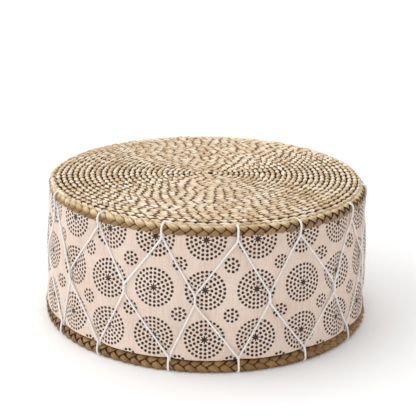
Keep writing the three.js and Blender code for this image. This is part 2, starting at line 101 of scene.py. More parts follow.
def add_camera():
    """Looks level along +Y, then turns down by the pitch, aside by the yaw and round its own axis."""
    camera = bpy.data.objects.new("camera", bpy.data.cameras.new("camera"))
    camera.data.sensor_width = SENSOR_WIDTH
    camera.data.lens = FOCAL_PIXELS / PHOTO_PIXELS * SENSOR_WIDTH
    aim = Euler((math.pi / 2 - CAMERA_PITCH, 0, -CAMERA_YAW)).to_matrix()
    turned = aim @ Matrix.Rotation(CAMERA_ROLL, 3, "Z")
    camera.matrix_world = Matrix.Translation(CAMERA_PLACE) @ turned.to_4x4()
    bpy.context.scene.collection.objects.link(camera)
    bpy.context.scene.camera = camera
    print("camera lens", round(camera.data.lens, 2), "mm")


add_camera()

# %% [markdown]
# ## Light
#
# Three soft lamps, as in a small studio. A high one a little behind gives the stool its short shadow,
# a low one from the left brings out the rows of the seat, and a low broad one in front lights the
# printed side. An even white world fills the rest. Together they add up to about one on a level
# surface, so a colour renders about as it is written.

# %% Light
LAMPS = {  # strength, spread in degrees, and where the light comes from
    "high": (1.35, 50, (-0.1, 0.32, 1.0)),
    "left": (1.8, 76, (-1.0, -0.12, 0.46)),
    "front": (1.1, 110, (0.45, -1.0, 0.34)),
}
FILL_STRENGTH = 0.32


def add_sun(name, strength, spread, source):
    """A sun lamp turned so that its rays come from source, with a wide disc for soft shadows."""
    lamp = bpy.data.objects.new(name, bpy.data.lights.new(name, "SUN"))
    lamp.data.energy = strength
    lamp.data.angle = math.radians(spread)
    x, y, z = source
    lamp.rotation_euler = (math.atan2(math.hypot(x, y), z), 0, math.atan2(x, -y))
    bpy.context.scene.collection.objects.link(lamp)


def add_fill_world():
    """An even grey world for the light, and plain white where the camera or a reflection sees it."""
    world = bpy.data.worlds.new("studio")
    bpy.context.scene.world = world
    world.use_nodes = True
    nodes, links = world.node_tree.nodes, world.node_tree.links
    nodes.clear()
    path = nodes.new("ShaderNodeLightPath")
    seen = path.outputs["Is Camera Ray"]
    for ray in ("Is Glossy Ray", "Is Transmission Ray"):
        either = nodes.new("ShaderNodeMath")
        either.operation = "MAXIMUM"
        links.new(seen, either.inputs[0])
        links.new(path.outputs[ray], either.inputs[1])
        seen = either.outputs[0]
    choose = nodes.new("ShaderNodeMixShader")
    links.new(seen, choose.inputs["Fac"])
    for place, strength in ((1, FILL_STRENGTH), (2, 1)):
        light = nodes.new("ShaderNodeBackground")
        light.inputs["Color"].default_value = (1, 1, 1, 1)
        light.inputs["Strength"].default_value = strength
        links.new(light.outputs[0], choose.inputs[place])
    output = nodes.new("ShaderNodeOutputWorld")
    links.new(choose.outputs[0], output.inputs["Surface"])


for lamp_name, lamp_values in LAMPS.items():
    add_sun(lamp_name, *lamp_values)
add_fill_world()
bpy.context.scene.view_settings.view_transform = "Standard"
print("lamps", {name: values[0] for name, values in LAMPS.items()}, "fill", FILL_STRENGTH)

# %% [markdown]
# ## Small helpers for surfaces
#
# Every piece below is a grid: rows along it and columns round or across it. One helper turns the
# grid into a mesh, closes it where it should close, lays a UV map in metres on it, and carries any
# values that the material reads, such as how deep in the weave a point lies. The rest shape numbers
# and lines: slow random waves, smooth steps, directions and sections.


# %% Grids and meshes
def around(angle, radius, z):
    """Points at an angle from the front towards +X: x = r sin a, y = -r cos a."""
    angle, radius, z = np.broadcast_arrays(angle, radius, z)
    return np.stack([radius * np.sin(angle), -radius * np.cos(angle), z], axis=-1)


def grid_corners(rows, columns, close_rows, close_columns):
    """Row and column of each face's four corners, counted on past the end where the grid closes."""
    row = np.arange(rows if close_rows else rows - 1)
    column = np.arange(columns if close_columns else columns - 1)
    i, j = np.meshgrid(row, column, indexing="ij")
    corner_rows = np.stack([i, i, i + 1, i + 1], axis=-1).reshape(-1, 4)
    corner_columns = np.stack([j, j + 1, j + 1, j], axis=-1).reshape(-1, 4)
    return corner_rows, corner_columns


def volume_of(points, faces):
    """Six times the signed volume: the sum over the faces of a . (b x c) + a . (c x d)."""
    a, b, c, d = (points[faces[:, corner]] for corner in range(4))
    return np.sum(a * (np.cross(b, c) + np.cross(c, d)))


def outward_faces(points, close_rows, close_columns):
    """The faces of a grid and their corners' rows and columns, turned outwards.

    The sign of the volume tells whether they were turned in, and is handed back as well.
    """
    rows, columns = points.shape[:2]
    corner_rows, corner_columns = grid_corners(rows, columns, close_rows, close_columns)
    faces = (corner_rows % rows) * columns + corner_columns % columns
    turned_in = volume_of(points.reshape(-1, 3), faces) < 0
    order = [0, 3, 2, 1] if turned_in else [0, 1, 2, 3]
    return faces[:, order], corner_rows[:, order], corner_columns[:, order], turned_in


def grid_piece(name, points, u, v, close_rows=False, close_columns=True, caps=False, marks=None):
    """A mesh from a grid of points (rows, columns, 3).

    u holds the UV map's first number for each row and v its second for each column, in metres, with
    one more entry where the grid closes. marks holds further values (rows, columns) by name. caps
    closes the two open ends of a tube.
    """
    rows, columns = points.shape[:2]
    faces, face_rows, face_columns, turned_in = outward_faces(points, close_rows, close_columns)
    face_list = faces.tolist()
    uv = np.stack([u[face_rows], v[face_columns]], axis=-1).reshape(-1, 2)
    if caps:
        first = np.arange(columns)
        last = first + (rows - 1) * columns
        ends = [first, last[::-1]] if turned_in else [first[::-1], last]
        face_list += [end.tolist() for end in ends]
        uv = np.concatenate([uv, np.zeros((2 * columns, 2))])
    return mesh_piece(name, points.reshape(-1, 3), face_list, uv, marks)


def mesh_piece(name, points, faces, uv=None, marks=None):
    """A smooth-shaded object at the origin from points and faces, with its UV map and its values."""
    mesh = bpy.data.meshes.new(name)
    mesh.from_pydata(points.tolist(), [], faces)
    if uv is not None:
        layer = mesh.uv_layers.new(name="UVMap")
        layer.data.foreach_set("uv", np.ascontiguousarray(uv, dtype=np.float32).ravel())
    for mark, values in (marks or {}).items():
        attribute = mesh.attributes.new(mark, "FLOAT", "POINT")
        attribute.data.foreach_set("value", np.asarray(values, dtype=np.float32).ravel())
    mesh.shade_smooth()
    piece = bpy.data.objects.new(name, mesh)
    bpy.context.scene.collection.objects.link(piece)
    triangles = sum(len(polygon.vertices) - 2 for polygon in mesh.polygons)
    print(name, "has", triangles, "triangles")
    return piece


# %% Dressing a piece
finishes = {}  # the materials below, by the slots that they are for


def dress(piece, node, slot):
    """Gives a piece the finish of its slot, hangs it under the root body and hides the CAD node that it
    replaces.
    """
    piece.data.materials.append(finishes[slot])
    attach(piece, "root")
    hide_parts(node)


# %% Numbers and lines
def wander(along, spacing, amount, random, closed_length=None):
    """Smooth random values: draws every spacing, joined by a cosine blend, times amount."""
    total = closed_length or along.max()
    count = max(4, round(total / spacing)) if closed_length else int(total / spacing) + 3
    draws = random.normal(size=count)
    place = along / total * count if closed_length else along / spacing
    index = place.astype(int)
    blend = 0.5 - 0.5 * np.cos(np.pi * (place - index))
    return amount * ((1 - blend) * draws[index % count] + blend * draws[(index + 1) % count])


def unit(vectors):
    """Each vector over its own length."""
    return vectors / np.linalg.norm(vectors, axis=-1, keepdims=True)


def directions(line):
    """Which way a closed line runs at each point: from the point before it to the one after it."""
    return unit(np.roll(line, -1, axis=0) - np.roll(line, 1, axis=0))


def carried(line, first_axis, first, second_axis, second):
    """A section carried along a line: the line + first x first axis + second x second axis."""
    first, second = first[..., None], second[..., None]
    return line[:, None] + first_axis[:, None] * first + second_axis[:, None] * second


def wrapped(angle):
    """The same direction as an angle of at most half a turn either way."""
    return (angle + np.pi) % TURN - np.pi


def smooth_step(value):
    """0 below 0, 1 above 1, and 3 x^2 - 2 x^3 between."""
    x = np.clip(value, 0, 1)
    return x * x * (3 - 2 * x)


def ramp_up(value, span):
    """A smooth step that starts at the span's first number and takes its second."""
    return smooth_step((value - span[0]) / span[1])


def rounded_section(sides, squareness):
    """Across and up of a superellipse of half sizes 1: cos and sin raised to 2 / squareness."""
    angle = TURN * np.arange(sides) / sides
    power = 2 / squareness
    across = np.sign(np.cos(angle)) * np.abs(np.cos(angle)) ** power
    up = np.sign(np.sin(angle)) * np.abs(np.sin(angle)) ** power
    return across, up


# %% [markdown]
# ## Small helpers for materials
#
# A finish is a short recipe of nodes. The classes below add a node for each call and each step of
# arithmetic, so that a recipe reads like a sum. Colours are written as the eye sees them and turned
# into the linear values that the shader wants.


# %% Colours and wires
def paint(shade):
    """A linear colour from a screen colour such as EBDDBE: each share to the power of about 2.4."""
    shares = [int(shade[start : start + 2], 16) / 255 for start in (0, 2, 4)]
    linear = [s / 12.92 if s <= 0.04045 else ((s + 0.055) / 1.055) ** 2.4 for s in shares]
    return (*linear, 1)


class Wire:
    """What a node hands on. Arithmetic with wires and numbers adds a node for each step."""

    def __init__(self, recipe, socket):
        self.recipe = recipe
        self.socket = socket

    def math(self, operation, *others):
        return self.recipe.math(operation, self, *others)

    def __add__(self, other):
        return self.math("ADD", other)

    def __sub__(self, other):
        return self.math("SUBTRACT", other)

    def __rsub__(self, other):
        return self.recipe.math("SUBTRACT", other, self)

    def __mul__(self, other):
        return self.math("MULTIPLY", other)

    def __truediv__(self, other):
        return self.math("DIVIDE", other)


# %% Recipe
class Recipe:
    """A material and its nodes. Each method adds a node and returns what it hands on."""

    def __init__(self, name):
        self.material = finishes[name] = bpy.data.materials.new(name)
        self.material.use_nodes = True
        self.tree = self.material.node_tree
        self.shader = self.tree.nodes["Principled BSDF"]

    def feed(self, socket, value):
        if isinstance(value, Wire):
            self.tree.links.new(value.socket, socket)
        else:
            socket.default_value = value

    def node(self, kind, **inputs):
        made = self.tree.nodes.new(kind)
        for name, value in inputs.items():
            self.feed(made.inputs[name.replace("_", " ")], value)
        return made

    def math(self, operation, *values):
        made = self.node("ShaderNodeMath")
        made.operation = operation
        for socket, value in zip(made.inputs, values):
            self.feed(socket, value)
        return Wire(self, made.outputs[0])

    def uv(self):
        return Wire(self, self.node("ShaderNodeUVMap").outputs["UV"])

    def place(self):
        return Wire(self, self.node("ShaderNodeTexCoord").outputs["Object"])

    def mark(self, name):
        made = self.node("ShaderNodeAttribute")
        made.attribute_name = name
        return Wire(self, made.outputs["Fac"])

    def split(self, vector):
        made = self.node("ShaderNodeSeparateXYZ", Vector=vector)
        return [Wire(self, made.outputs[axis]) for axis in "XY"]

    def noise(self, vector, scale, detail=2.0, roughness=0.5):
        """Noise of one scale, or stretched, where scale holds a number for each axis."""
        if isinstance(scale, tuple):
            mapping = self.node("ShaderNodeMapping", Vector=vector, Scale=scale)
            vector, scale = Wire(self, mapping.outputs["Vector"]), 1.0
        values = {"Vector": vector, "Scale": scale, "Detail": detail, "Roughness": roughness}
        return Wire(self, self.node("ShaderNodeTexNoise", **values).outputs["Fac"])

    def ramp(self, value, *stops):
        """A colour from a value: stops are (value, screen colour)."""
        made = self.node("ShaderNodeValToRGB", Fac=value)
        elements = made.color_ramp.elements
        while len(elements) < len(stops):
            elements.new(0.5)
        for element, (at, shade) in zip(elements, stops):
            element.position = at
            element.color = paint(shade)
        return Wire(self, made.outputs["Color"])

    def span(self, value, low, high, to_low, to_high):
        """The value's place between low and high, clamped, moved to the new span."""
        made = self.node("ShaderNodeMapRange")
        for socket, given in zip(made.inputs, (value, low, high, to_low, to_high)):
            self.feed(socket, given)
        return Wire(self, made.outputs[0])

    def mix(self, share, first, shade):
        """The first colour, turned by its share to a screen colour."""
        made = self.node("ShaderNodeMix")
        made.data_type = "RGBA"
        for place, value in ((0, share), (6, first), (7, paint(shade))):
            self.feed(made.inputs[place], value)
        return Wire(self, made.outputs[2])

    def bump(self, height, distance, strength=1.0):
        made = self.node("ShaderNodeBump", Height=height, Distance=distance, Strength=strength)
        self.tree.links.new(made.outputs["Normal"], self.shader.inputs["Normal"])

    def surface(self, colour, roughness, specular):
        self.feed(self.shader.inputs["Base Color"], colour)
        self.feed(self.shader.inputs["Roughness"], roughness)
        self.feed(self.shader.inputs["Specular IOR Level"], specular)
        return self.material


# %% [markdown]
# ## Reed
#
# Dried reed is cream to golden brown and streaked along its fibres. The recipe takes a tone for each
# visible grain, which on the plaits also holds a painted light on their upper edges, and a depth in
# the weave from the mesh. By that depth it paints shade where the reed turns down into the weave,
# and it draws the streaks on the UV map, long along the strand and fine across it.


# %% Reed finishes
STREAK_CELLS = (26, 520, 1)  # noise cells to the metre, along a strand and across it
FIBRE_CELLS = (80, 2400, 1)
SHADOW_SHARE = 0.85
CREVICE_SHARE = 0.97


def reed_finish(name, shades, shadow, crevice, shade_depths):
    """Streaks and tone pick a shade from dark to pale.

    shade_depths are three depths in the weave for painted shade: the colour turns to the painted
    shadow colour between the first and the second, and to the painted crevice shade between the
    second and the third.
    """
    recipe = Recipe(name)
    uv = recipe.uv()
    streaks = recipe.noise(uv, STREAK_CELLS, 3.0, 0.6)
    fibres = recipe.noise(uv, FIBRE_CELLS)
    patches = recipe.noise(recipe.place(), 24.0, 3.0, 0.6)
    value = streaks * 0.46 + fibres * 0.18 + patches * 0.14 + recipe.mark("tone") * 0.22
    colour = recipe.ramp(value, *shades)
    depth = recipe.mark("depth")
    # painted shade: the deeper a point lies in the weave, the more its colour turns to the shadow
    # colour and then to the near-black crevice colour
    colour = recipe.mix(recipe.span(depth, shade_depths[0], shade_depths[1], 0.0, SHADOW_SHARE), colour, shadow)
    colour = recipe.mix(recipe.span(depth, shade_depths[1], shade_depths[2], 0.0, CREVICE_SHARE), colour, crevice)
    recipe.bump(streaks + fibres * 0.5, 0.4 * MM, 0.7)
    recipe.surface(colour, recipe.span(streaks, 0.2, 0.8, 0.55, 0.4), 0.4)


# for each reed: shades from dark to pale, the painted shadow and crevice colours, and the depths of
# that painted shade
REEDS = {
    "seat_reed": (
        ((0.30, "B48E66"), (0.44, "DCC29C"), (0.56, "F1DEC2"), (0.70, "FEF6E6")),
        "86603A",
        "0E0703",
        (0.26, 0.38, 0.50),
    ),
    "seat_plait_reed": (
        ((0.30, "6E4F2E"), (0.46, "967349"), (0.58, "B59262"), (0.74, "DFCAA6")),
        "54361A",
        "0C0603",
        (0.18, 0.33, 0.43),
    ),
    "base_plait_reed": (
        ((0.30, "634322"), (0.46, "8A6535"), (0.58, "A47F46"), (0.72, "C4A36B")),
        "452A12",
        "0C0603",
        (0.18, 0.33, 0.43),
    ),
    "base_reed": (
        ((0.30, "8A6A42"), (0.45, "B6976A"), (0.56, "CDB388"), (0.70, "E0CDA8")),
        "6A4A2A",
        "160D06",
        (0.30, 0.48, 0.62),
    ),
}
for reed_name, reed_values in REEDS.items():
    reed_finish(reed_name, *reed_values)
print("reed finishes:", list(REEDS))

# %% [markdown]
# ## The seat's winding
#
# The seat is one long rope of twined reed, wound from the middle outwards. Twining lays two soft
# strands round each other, so that each comes up as a plump lens-shaped grain that runs a little
# across its row, and leaves a dark pit where it dives. It could be painted on a disc, but those pits
# are what the eye sees, so both strands are modelled, along the whole spiral.
#
# Each turn keeps its radius nearly all the way round and steps out towards the seam at the back, and
# the last turn thins out there, so that the rows lie true against the plait. Made by hand, the seat
# isn't quite round or level: it swells a few per cent towards its sides and its back, and stands a
# little higher on the right of its back.


# %% Twined spiral
SETTLED_FROM = 3  # turns from the middle, where the winding is still a plain spiral
SETTLED_OVER = 8
ROPE_ENDS = 0.02  # of a turn, before the full number of rows
SAMPLES_PER_TURN = 320


def spiral_radius(turns, first_radius, pitch, rows):
    """Radius and thickness share along a spiral of rows.

    The middle is a plain spiral. From the third turn on, a turn's own step outwards moves towards the
    cube of its share of the turn. In the last turn what is left is 1 minus that cube, and the rope
    fills it up to the edge.
    """
    turn = np.minimum(np.floor(turns), rows - 1)
    share = turns - turn
    late = smooth_step((turns - SETTLED_FROM) / SETTLED_OVER)
    step = share + (share**3 - share) * late
    left = np.where(turn >= rows - 1, 1 - step, 1.0)
    radius = first_radius + pitch * (turn + step)
    edge = first_radius + pitch * (rows - 0.5)
    return np.where(turn >= rows - 1, edge - pitch * left / 2, radius), left


def spiral_samples(first_radius, pitch, rows, spacing):
    """Turns at even steps of arc length: the length's running sum is read backwards."""
    turns = np.linspace(0, rows - ROPE_ENDS, SAMPLES_PER_TURN * rows)
    radius, _ = spiral_radius(turns, first_radius, pitch, rows)
    steps = (radius[1:] + radius[:-1]) / 2 * np.diff(turns) * TURN
    length = np.concatenate([[0], np.cumsum(steps)])
    along = np.arange(0, length[-1], spacing)
    return np.interp(along, length, turns), along


# %% Twined strand
STRAND_SIDES = 10
STRAND_SQUARENESS = 2.5
TWIST_WANDER = (75 * MM, 1.9)  # spacing, and amount in radians, of the rope's uneven twist
GIRTH_WANDER = (9 * MM, 0.07)  # the same of a strand's girth, as a share of it
ASIDE_WANDER = (14 * MM, 0.15 * MM)
LIFT_WANDER = (16 * MM, 0.12 * MM)
FULLNESS_POWER = 0.6  # the lower, the longer a grain stays plump
RIM_ROWS = 3  # rows over which the winding drops towards its edge
# The depths below become painted shade: the finish darkens the pits where a strand dives and what lies
# low in the rope.
PIT_REACH = 2.2 * MM  # from a row's middle; a strand's dive leaves a pit from a quarter of it outwards
PIT_DEPTH = 0.9  # at the bottom of a row
DIVE_DEPTH = 1.8  # what a dive adds to it
OPEN_SIDE = (0.125, 0.55)  # turns over which the last row's outer side opens, and how much less painted shade it gets
FACING_DEPTH = 0.46  # of what faces the other strand
# How far the winding swells past a circle, as a share of the radius, by degrees from the front.
SEAT_SWELL = {
    0: 0, 60: 0, 90: 0.010, 120: 0.034, 140: 0.042, 160: 0.036, 180: 0.028, 200: 0.024,
    220: 0.022, 240: 0.030, 260: 0.041, 275: 0.040, 290: 0.027, 310: 0.010, 330: 0,
}
SEAT_TILT = 1.6 * MM  # the seat's rise at the edge, on the side that stands highest
TILT_TOWARDS = math.radians(135)


def twined_strand(name, strand, winding, seed):
    """One strand of a two-strand rope along the spiral.

    Its middle lies off the rope's by aside x cos(phase) outwards and lift x sin(phase) upwards. Its
    section is a superellipse, wide square to that offset: broad and thick on top, where the sine is 1,
    and narrow where it passes the other strand. The phase falls by a turn in each lay length, and the
    two strands are half a turn apart and share one uneven twist. The rope's level drops by rim_drop
    over the last rows, and rises by tilt x r / edge x cos(angle - towards). Its radius grows by swell x
    the share in SEAT_SWELL. depth is the greater of two: how low a point lies in the rope, more so at
    the row's sides where its strand dives and less on the open side of the last row, and how far it
    faces the other strand. facing is 1 for a winding seen from above and -1 for one seen from below.
    """
    random = np.random.default_rng(seed)
    shared = np.random.default_rng(seed // 2 * 2)
    first_radius, rows = winding["first_radius"], winding["rows"]
    pitch = (winding["edge"] - first_radius) / (rows - 0.5)
    turns, along = spiral_samples(first_radius, pitch, rows, winding["ring_spacing"])
    radius, left = spiral_radius(turns, first_radius, pitch, rows)
    angle = math.pi + TURN * turns
    unevenness = wander(along, *TWIST_WANDER, shared)
    phase = math.pi * strand + unevenness - TURN * along / winding["lay"]
    out, up = np.cos(phase), np.sin(phase)
    size = left * (1 + wander(along, *GIRTH_WANDER, random))
    fullness = np.abs(up) ** FULLNESS_POWER
    half_width, half_thickness = (
        neck + (crown - neck) * fullness for neck, crown in zip(winding["neck"], winding["crown"])
    )
    out_offset = winding["aside"] * out * size + wander(along, *ASIDE_WANDER, random)
    up_offset = winding["lift"] * up * size + wander(along, *LIFT_WANDER, random) * left
    section_wide, section_thick = rounded_section(STRAND_SIDES, STRAND_SQUARENESS)
    wide = np.outer(half_width * size, section_wide)
    thick = np.outer(half_thickness * size, section_thick)
    across = out_offset[:, None] - up[:, None] * wide + out[:, None] * thick
    height = up_offset[:, None] + out[:, None] * wide + up[:, None] * thick
    level = winding["level"] - winding["rim_drop"] * smooth_step((turns - rows + RIM_ROWS) / RIM_ROWS)
    level = level + winding["tilt"] * radius / winding["edge"] * np.cos(angle - TILT_TOWARDS)
    swell = np.interp(np.degrees(angle), list(SEAT_SWELL), list(SEAT_SWELL.values()), period=360)
    radius = radius * (1 + winding["swell"] * swell)
    rise = winding["facing"] * height
    points = around(angle[:, None], radius[:, None] + across, level[:, None] + rise)
    grain = np.floor((phase + math.pi / 2) / TURN).astype(int)
    tones = random.random(grain.max() - grain.min() + 1)
    # painted shade: depth darkens what lies low in the rope, the pits at a row's sides and what faces
    # the other strand
    low = 0.5 - height / (winding["lift"] + winding["crown"][1]) / 2
    facing_in = np.broadcast_to(0.5 - 0.5 * section_thick, low.shape)
    dive = (1 - np.abs(up))[:, None] * smooth_step(np.abs(across) / PIT_REACH - 0.25)
    opened = smooth_step((turns - rows + 1) / OPEN_SIDE[0])[:, None] * smooth_step(across / MM)
    pit = (PIT_DEPTH + DIVE_DEPTH * dive) * low * (1 - OPEN_SIDE[1] * opened)
    marks = {
        "tone": np.repeat(tones[grain - grain.min()][:, None], STRAND_SIDES, axis=1),
        "depth": np.clip(np.maximum(pit, FACING_DEPTH * facing_in), 0, 1),
    }
    girth = np.linspace(0, TURN * sum(winding["crown"]) / 2, STRAND_SIDES + 1)
    print(name, "is", round(along[-1], 2), "m long in", rows, "rows of", round(pitch / MM, 2), "mm")
    return grid_piece(name, points, along, girth, caps=True, marks=marks)


def make_winding(name, winding, seed, node, slot):
    """Both strands of a winding, dressed."""
    for strand, letter in enumerate("ab"):
        dress(twined_strand(f"{name}_{letter}", strand, winding, seed + strand), node, slot)


# %% Seat winding
SEAT_CROWN = (3.45 * MM, 2.15 * MM)
SEAT_LIFT = 1.3 * MM
ROW_OVERHANG = 5.5 * MM
RIM_DROP = 1.8 * MM
seat_winding_sizes = {
    "rows": 28,
    "facing": 1,
    "first_radius": 4.6 * MM,
    "edge": SEAT_EDGE + ROW_OVERHANG,
    "rim_drop": RIM_DROP,
    "swell": 1,
    "tilt": SEAT_TILT,
    "level": SEAT_LEVEL - SEAT_LIFT - SEAT_CROWN[1],
    "crown": SEAT_CROWN,
    "neck": (1.35 * MM, 1.1 * MM),
    "lift": SEAT_LIFT,
    "aside": 1.25 * MM,
    "lay": 27 * MM,
    "ring_spacing": 1.95 * MM,
}
make_winding("seat_winding", seat_winding_sizes, 20, "seat_spiral_rope", "seat_reed")

# %% [markdown]
# ## Where the cord runs
#
# The cord goes from a loop on the seat plait down to the next loop on the base plait, then up again,
# always onwards. With 15 loops it meets its own start after going twice round the stool. Hands tied
# it, so loops and crossings lie a few degrees off an even spacing. Those shifts are listed here by
# loop, from the front towards +X, and the plaits and the cover follow them too.

# %% Lacing places
LOOPS = 15
LOOP_ANGLE = TURN / LOOPS
LACING_PHASE = math.radians(10)
SEAT_JUNCTION_INSET = 7.5 * MM
BASE_JUNCTION_INSET = 4 * MM
CROSSING_HEIGHT = 98 * MM
CROSSING_LENGTH = 12 * MM
SEAT_LOOP_SHIFTS = (0, -2.3, 1.0, 1.4, -1.2, 0.6, -0.8, 1.5, -0.4, 0.9, -1.3, 0.5, -4.0, 0.3, -0.2)
BASE_LOOP_SHIFTS = (1.0, 0.4, -1.0, -1.6, 0.8, -0.5, 1.3, -1.1, 0.2, 1.2, -0.7, 1.5, 5.2, 1.4, 2.9)
CROSSING_SHIFTS = (-1.2, 1.6, 0.4, -0.9, 0.7, 0.2, -0.6, 1.0, -0.8, 0.3, 0.9, -0.4, -1.8, -0.8, -1.2)
CROSSING_LIFTS = (-2, -7, 1, 2, -3, 0, 3, -2, 1, -1, 2, -2, -2, 3, 0)

loop_numbers = np.arange(LOOPS)
even_angles = LACING_PHASE + LOOP_ANGLE * loop_numbers
seat_loop_angles = even_angles + np.radians(SEAT_LOOP_SHIFTS)
base_loop_angles = even_angles + np.radians(BASE_LOOP_SHIFTS)
crossing_angles = even_angles + LOOP_ANGLE / 2 + np.radians(CROSSING_SHIFTS)
crossing_heights = CROSSING_HEIGHT + np.array(CROSSING_LIFTS) * MM
seat_junction = SIDE_TOP - SEAT_JUNCTION_INSET
base_junction = SIDE_BOTTOM + BASE_JUNCTION_INSET


def cover_radius(z):
    """The side's straight slope between the plaits, plus a belly that is a half sine of the height."""
    share = np.clip((z - SIDE_BOTTOM) / (SIDE_TOP - SIDE_BOTTOM), 0, 1)
    slope = BASE_RADIUS + (SEAT_RADIUS - BASE_RADIUS) * share - COVER_INSET
    return slope + COVER_BELLY * np.sin(np.pi * share)


def off_angle(angle, targets):
    """The smallest turn from each angle to the nearest target."""
    away = wrapped(np.asarray(angle)[..., None] - targets)
    return away[np.arange(away.shape[0]), np.abs(away).argmin(axis=-1)]


print("loops at", np.degrees(seat_loop_angles).round(1).tolist())

# %% [markdown]
# ## The two plaits
#
# A flat plait of three straps: each swings from edge to edge of the plait once while it passes over
# and under twice, and the three are a third of a swing apart. At each edge a strap rolls over, so
# that the leaves between are broad and flat. Seen from outside they meet in chevrons. The seat's
# plait runs one way round and the base's the other. Neither faces straight out: the base's looks up,
# and both turn a little more to the sky from the left side to the right, as they were laced on. Shade
# is painted into the gaps between the leaves, a painted light makes the upper edges paler, and a
# painted contact shadow darkens what stands on the floor.


# %% Plait surface
PLAIT_SIDES = 20
PLAIT_RING_SPACING = 2.0 * MM
PLAIT_PINCH = 0.12
PINCH_REACH = 5 * MM
SWING_WANDER = (70 * MM, 0.2)  # spacing, and amount in radians, of how unevenly the straps swing
PLACE_WANDER = (18 * MM, 0.04)  # the same of a strap's place, as a share of its half width
SIZE_WANDER = (12 * MM, 0.04)
EDGE_ROLL = 1.6  # the higher, the shorter the stretch in which a strap rolls over
STRAP_SQUARENESS = 3.2
STRAP_RIDGES = 3
STRAP_RIDGE_SHARE = 0.035
# The depths below become painted shade in the gaps between the leaves and on the straps' narrow sides,
# lighter at the plait's edges.
EDGE_PALER = 0.65  # share of its depth that a strap loses at the plait's edges
EDGE_SPAN = (0.62, 0.3)  # where that starts, as a share of the plait's half width, and over how much
SIDE_DEPTH = 0.5  # the depth that a strap's narrow sides count as, where it lies flat
SIDE_SPAN = (0.84, 0.12)
FLAT_SPAN = (0.6, 0.25)
CONTACT_SHADOW_BELOW = 1.8 * MM  # a painted contact shadow darkens the reed up to half of this above the floor, and fades out at 1.5 of it
CONTACT_SHADOW_DEPTH = 0.27
BACK_FACE = 1.15  # the back counts as a face of its own: its depth is this less the depth behind


def plait_straps(plait, seed):
    """The three closed straps of one plait, as grids of points with their tones and depths.

    The face leans back from upright by lean[0] + lean[1] x sin(angle), in degrees. Along it a strap's
    middle is spread x sin(phase), and out of it minus heading x weave x sin(2 phase). The section is a
    superellipse, turned round the strap's own direction by 90 degrees x (1 - tanh(k cos phase) /
    tanh k), which lays it flat in the middle and on its side at the edges. depth, which the finish
    paints as shade, grows with how far behind the face a point lies, less at the edges, and near the
    floor as a painted contact shadow. tone grows by bleach towards the upper edge, a painted
    light that makes the top paler.
    """
    spread, weave, half_width, half_thickness = plait["sizes"]
    radius, z = plait["centre"]
    random = np.random.default_rng(seed)
    length = TURN * radius
    rings = round(length / plait["ring_spacing"])
    along = length * np.arange(rings) / rings
    angle = along / radius
    ring_line = around(angle, radius, z)
    lean = np.radians(plait["lean"][0] + plait["lean"][1] * np.sin(angle))
    pinch = np.ones(rings)
    if plait["loops"] is not None:
        pinch -= PLAIT_PINCH * np.exp(-((off_angle(angle, plait["loops"]) * radius / PINCH_REACH) ** 2))
    uneven = wander(along, *SWING_WANDER, random, length)
    face_up = around(angle, -np.sin(lean), np.cos(lean))
    face_out = around(angle, np.cos(lean), np.sin(lean))
    section_wide, section_thick = rounded_section(PLAIT_SIDES, STRAP_SQUARENESS)
    ridges = 1 + STRAP_RIDGE_SHARE * np.cos(TURN * STRAP_RIDGES * section_wide / 2)
    place_spacing, place_share = PLACE_WANDER
    straps = []
    for strap in range(3):
        phase = plait["swings"] * angle + uneven + TURN * strap / 3
        up = pinch * spread * np.sin(phase)
        up = up + wander(along, place_spacing, place_share * half_width, random, length)
        out = -plait["heading"] * weave * pinch * np.sin(2 * phase)
        middle = ring_line + face_up * up[:, None] + face_out * out[:, None]
        forward = directions(middle)
        flat_axis = unit(np.cross(forward, face_out))
        face_axis = np.cross(flat_axis, forward)
        roll = math.pi / 2 * (1 - np.tanh(EDGE_ROLL * np.cos(phase)) / math.tanh(EDGE_ROLL))
        roll = -plait["heading"] * roll[:, None]
        width_axis = flat_axis * np.cos(roll) + face_axis * np.sin(roll)
        thick_axis = face_axis * np.cos(roll) - flat_axis * np.sin(roll)
        size = pinch * (1 + wander(along, *SIZE_WANDER, random, length))
        wide = np.outer(half_width * size, section_wide)
        thick = np.outer(half_thickness * size, section_thick) * ridges
        points = carried(middle, width_axis, wide, thick_axis, thick)
        leaf = np.floor(2 * (phase / TURN + 0.25)).astype(int)
        tones = random.random(leaf.max() + 1)
        off_middle = points - ring_line[:, None]
        height = np.sum(off_middle * face_up[:, None], axis=2) / (spread + half_thickness)
        at_edge = np.abs(height)
        # painted shade: the further behind the face a point lies, the darker it is painted
        behind = 0.5 - np.sum(off_middle * face_out[:, None], axis=2) / (weave + half_thickness) / 2
        behind = np.minimum(behind, BACK_FACE - behind)
        depth = np.clip(behind * (1 - EDGE_PALER * ramp_up(at_edge, EDGE_SPAN)), 0, 1)
        side = ramp_up(np.abs(section_wide), SIDE_SPAN) * (1 - ramp_up(at_edge, FLAT_SPAN))
        depth = np.maximum(depth, SIDE_DEPTH * side)
        # painted contact shadow: the reed just above the floor is darkened
        depth = np.maximum(depth, CONTACT_SHADOW_DEPTH * smooth_step(1.5 - points[..., 2] / CONTACT_SHADOW_BELOW))
        # painted light: the plait's upper edge is made paler, as light from above would show it
        tone = 0.5 * tones[leaf % len(tones)][:, None] + plait["bleach"] * smooth_step(height)
        straps.append({"points": points, "length": length, "tone": tone, "depth": depth})
    return straps


# %% Plait mesh
PRESSED_BELOW = 1.2 * MM
PLAIT_SWINGS = 32


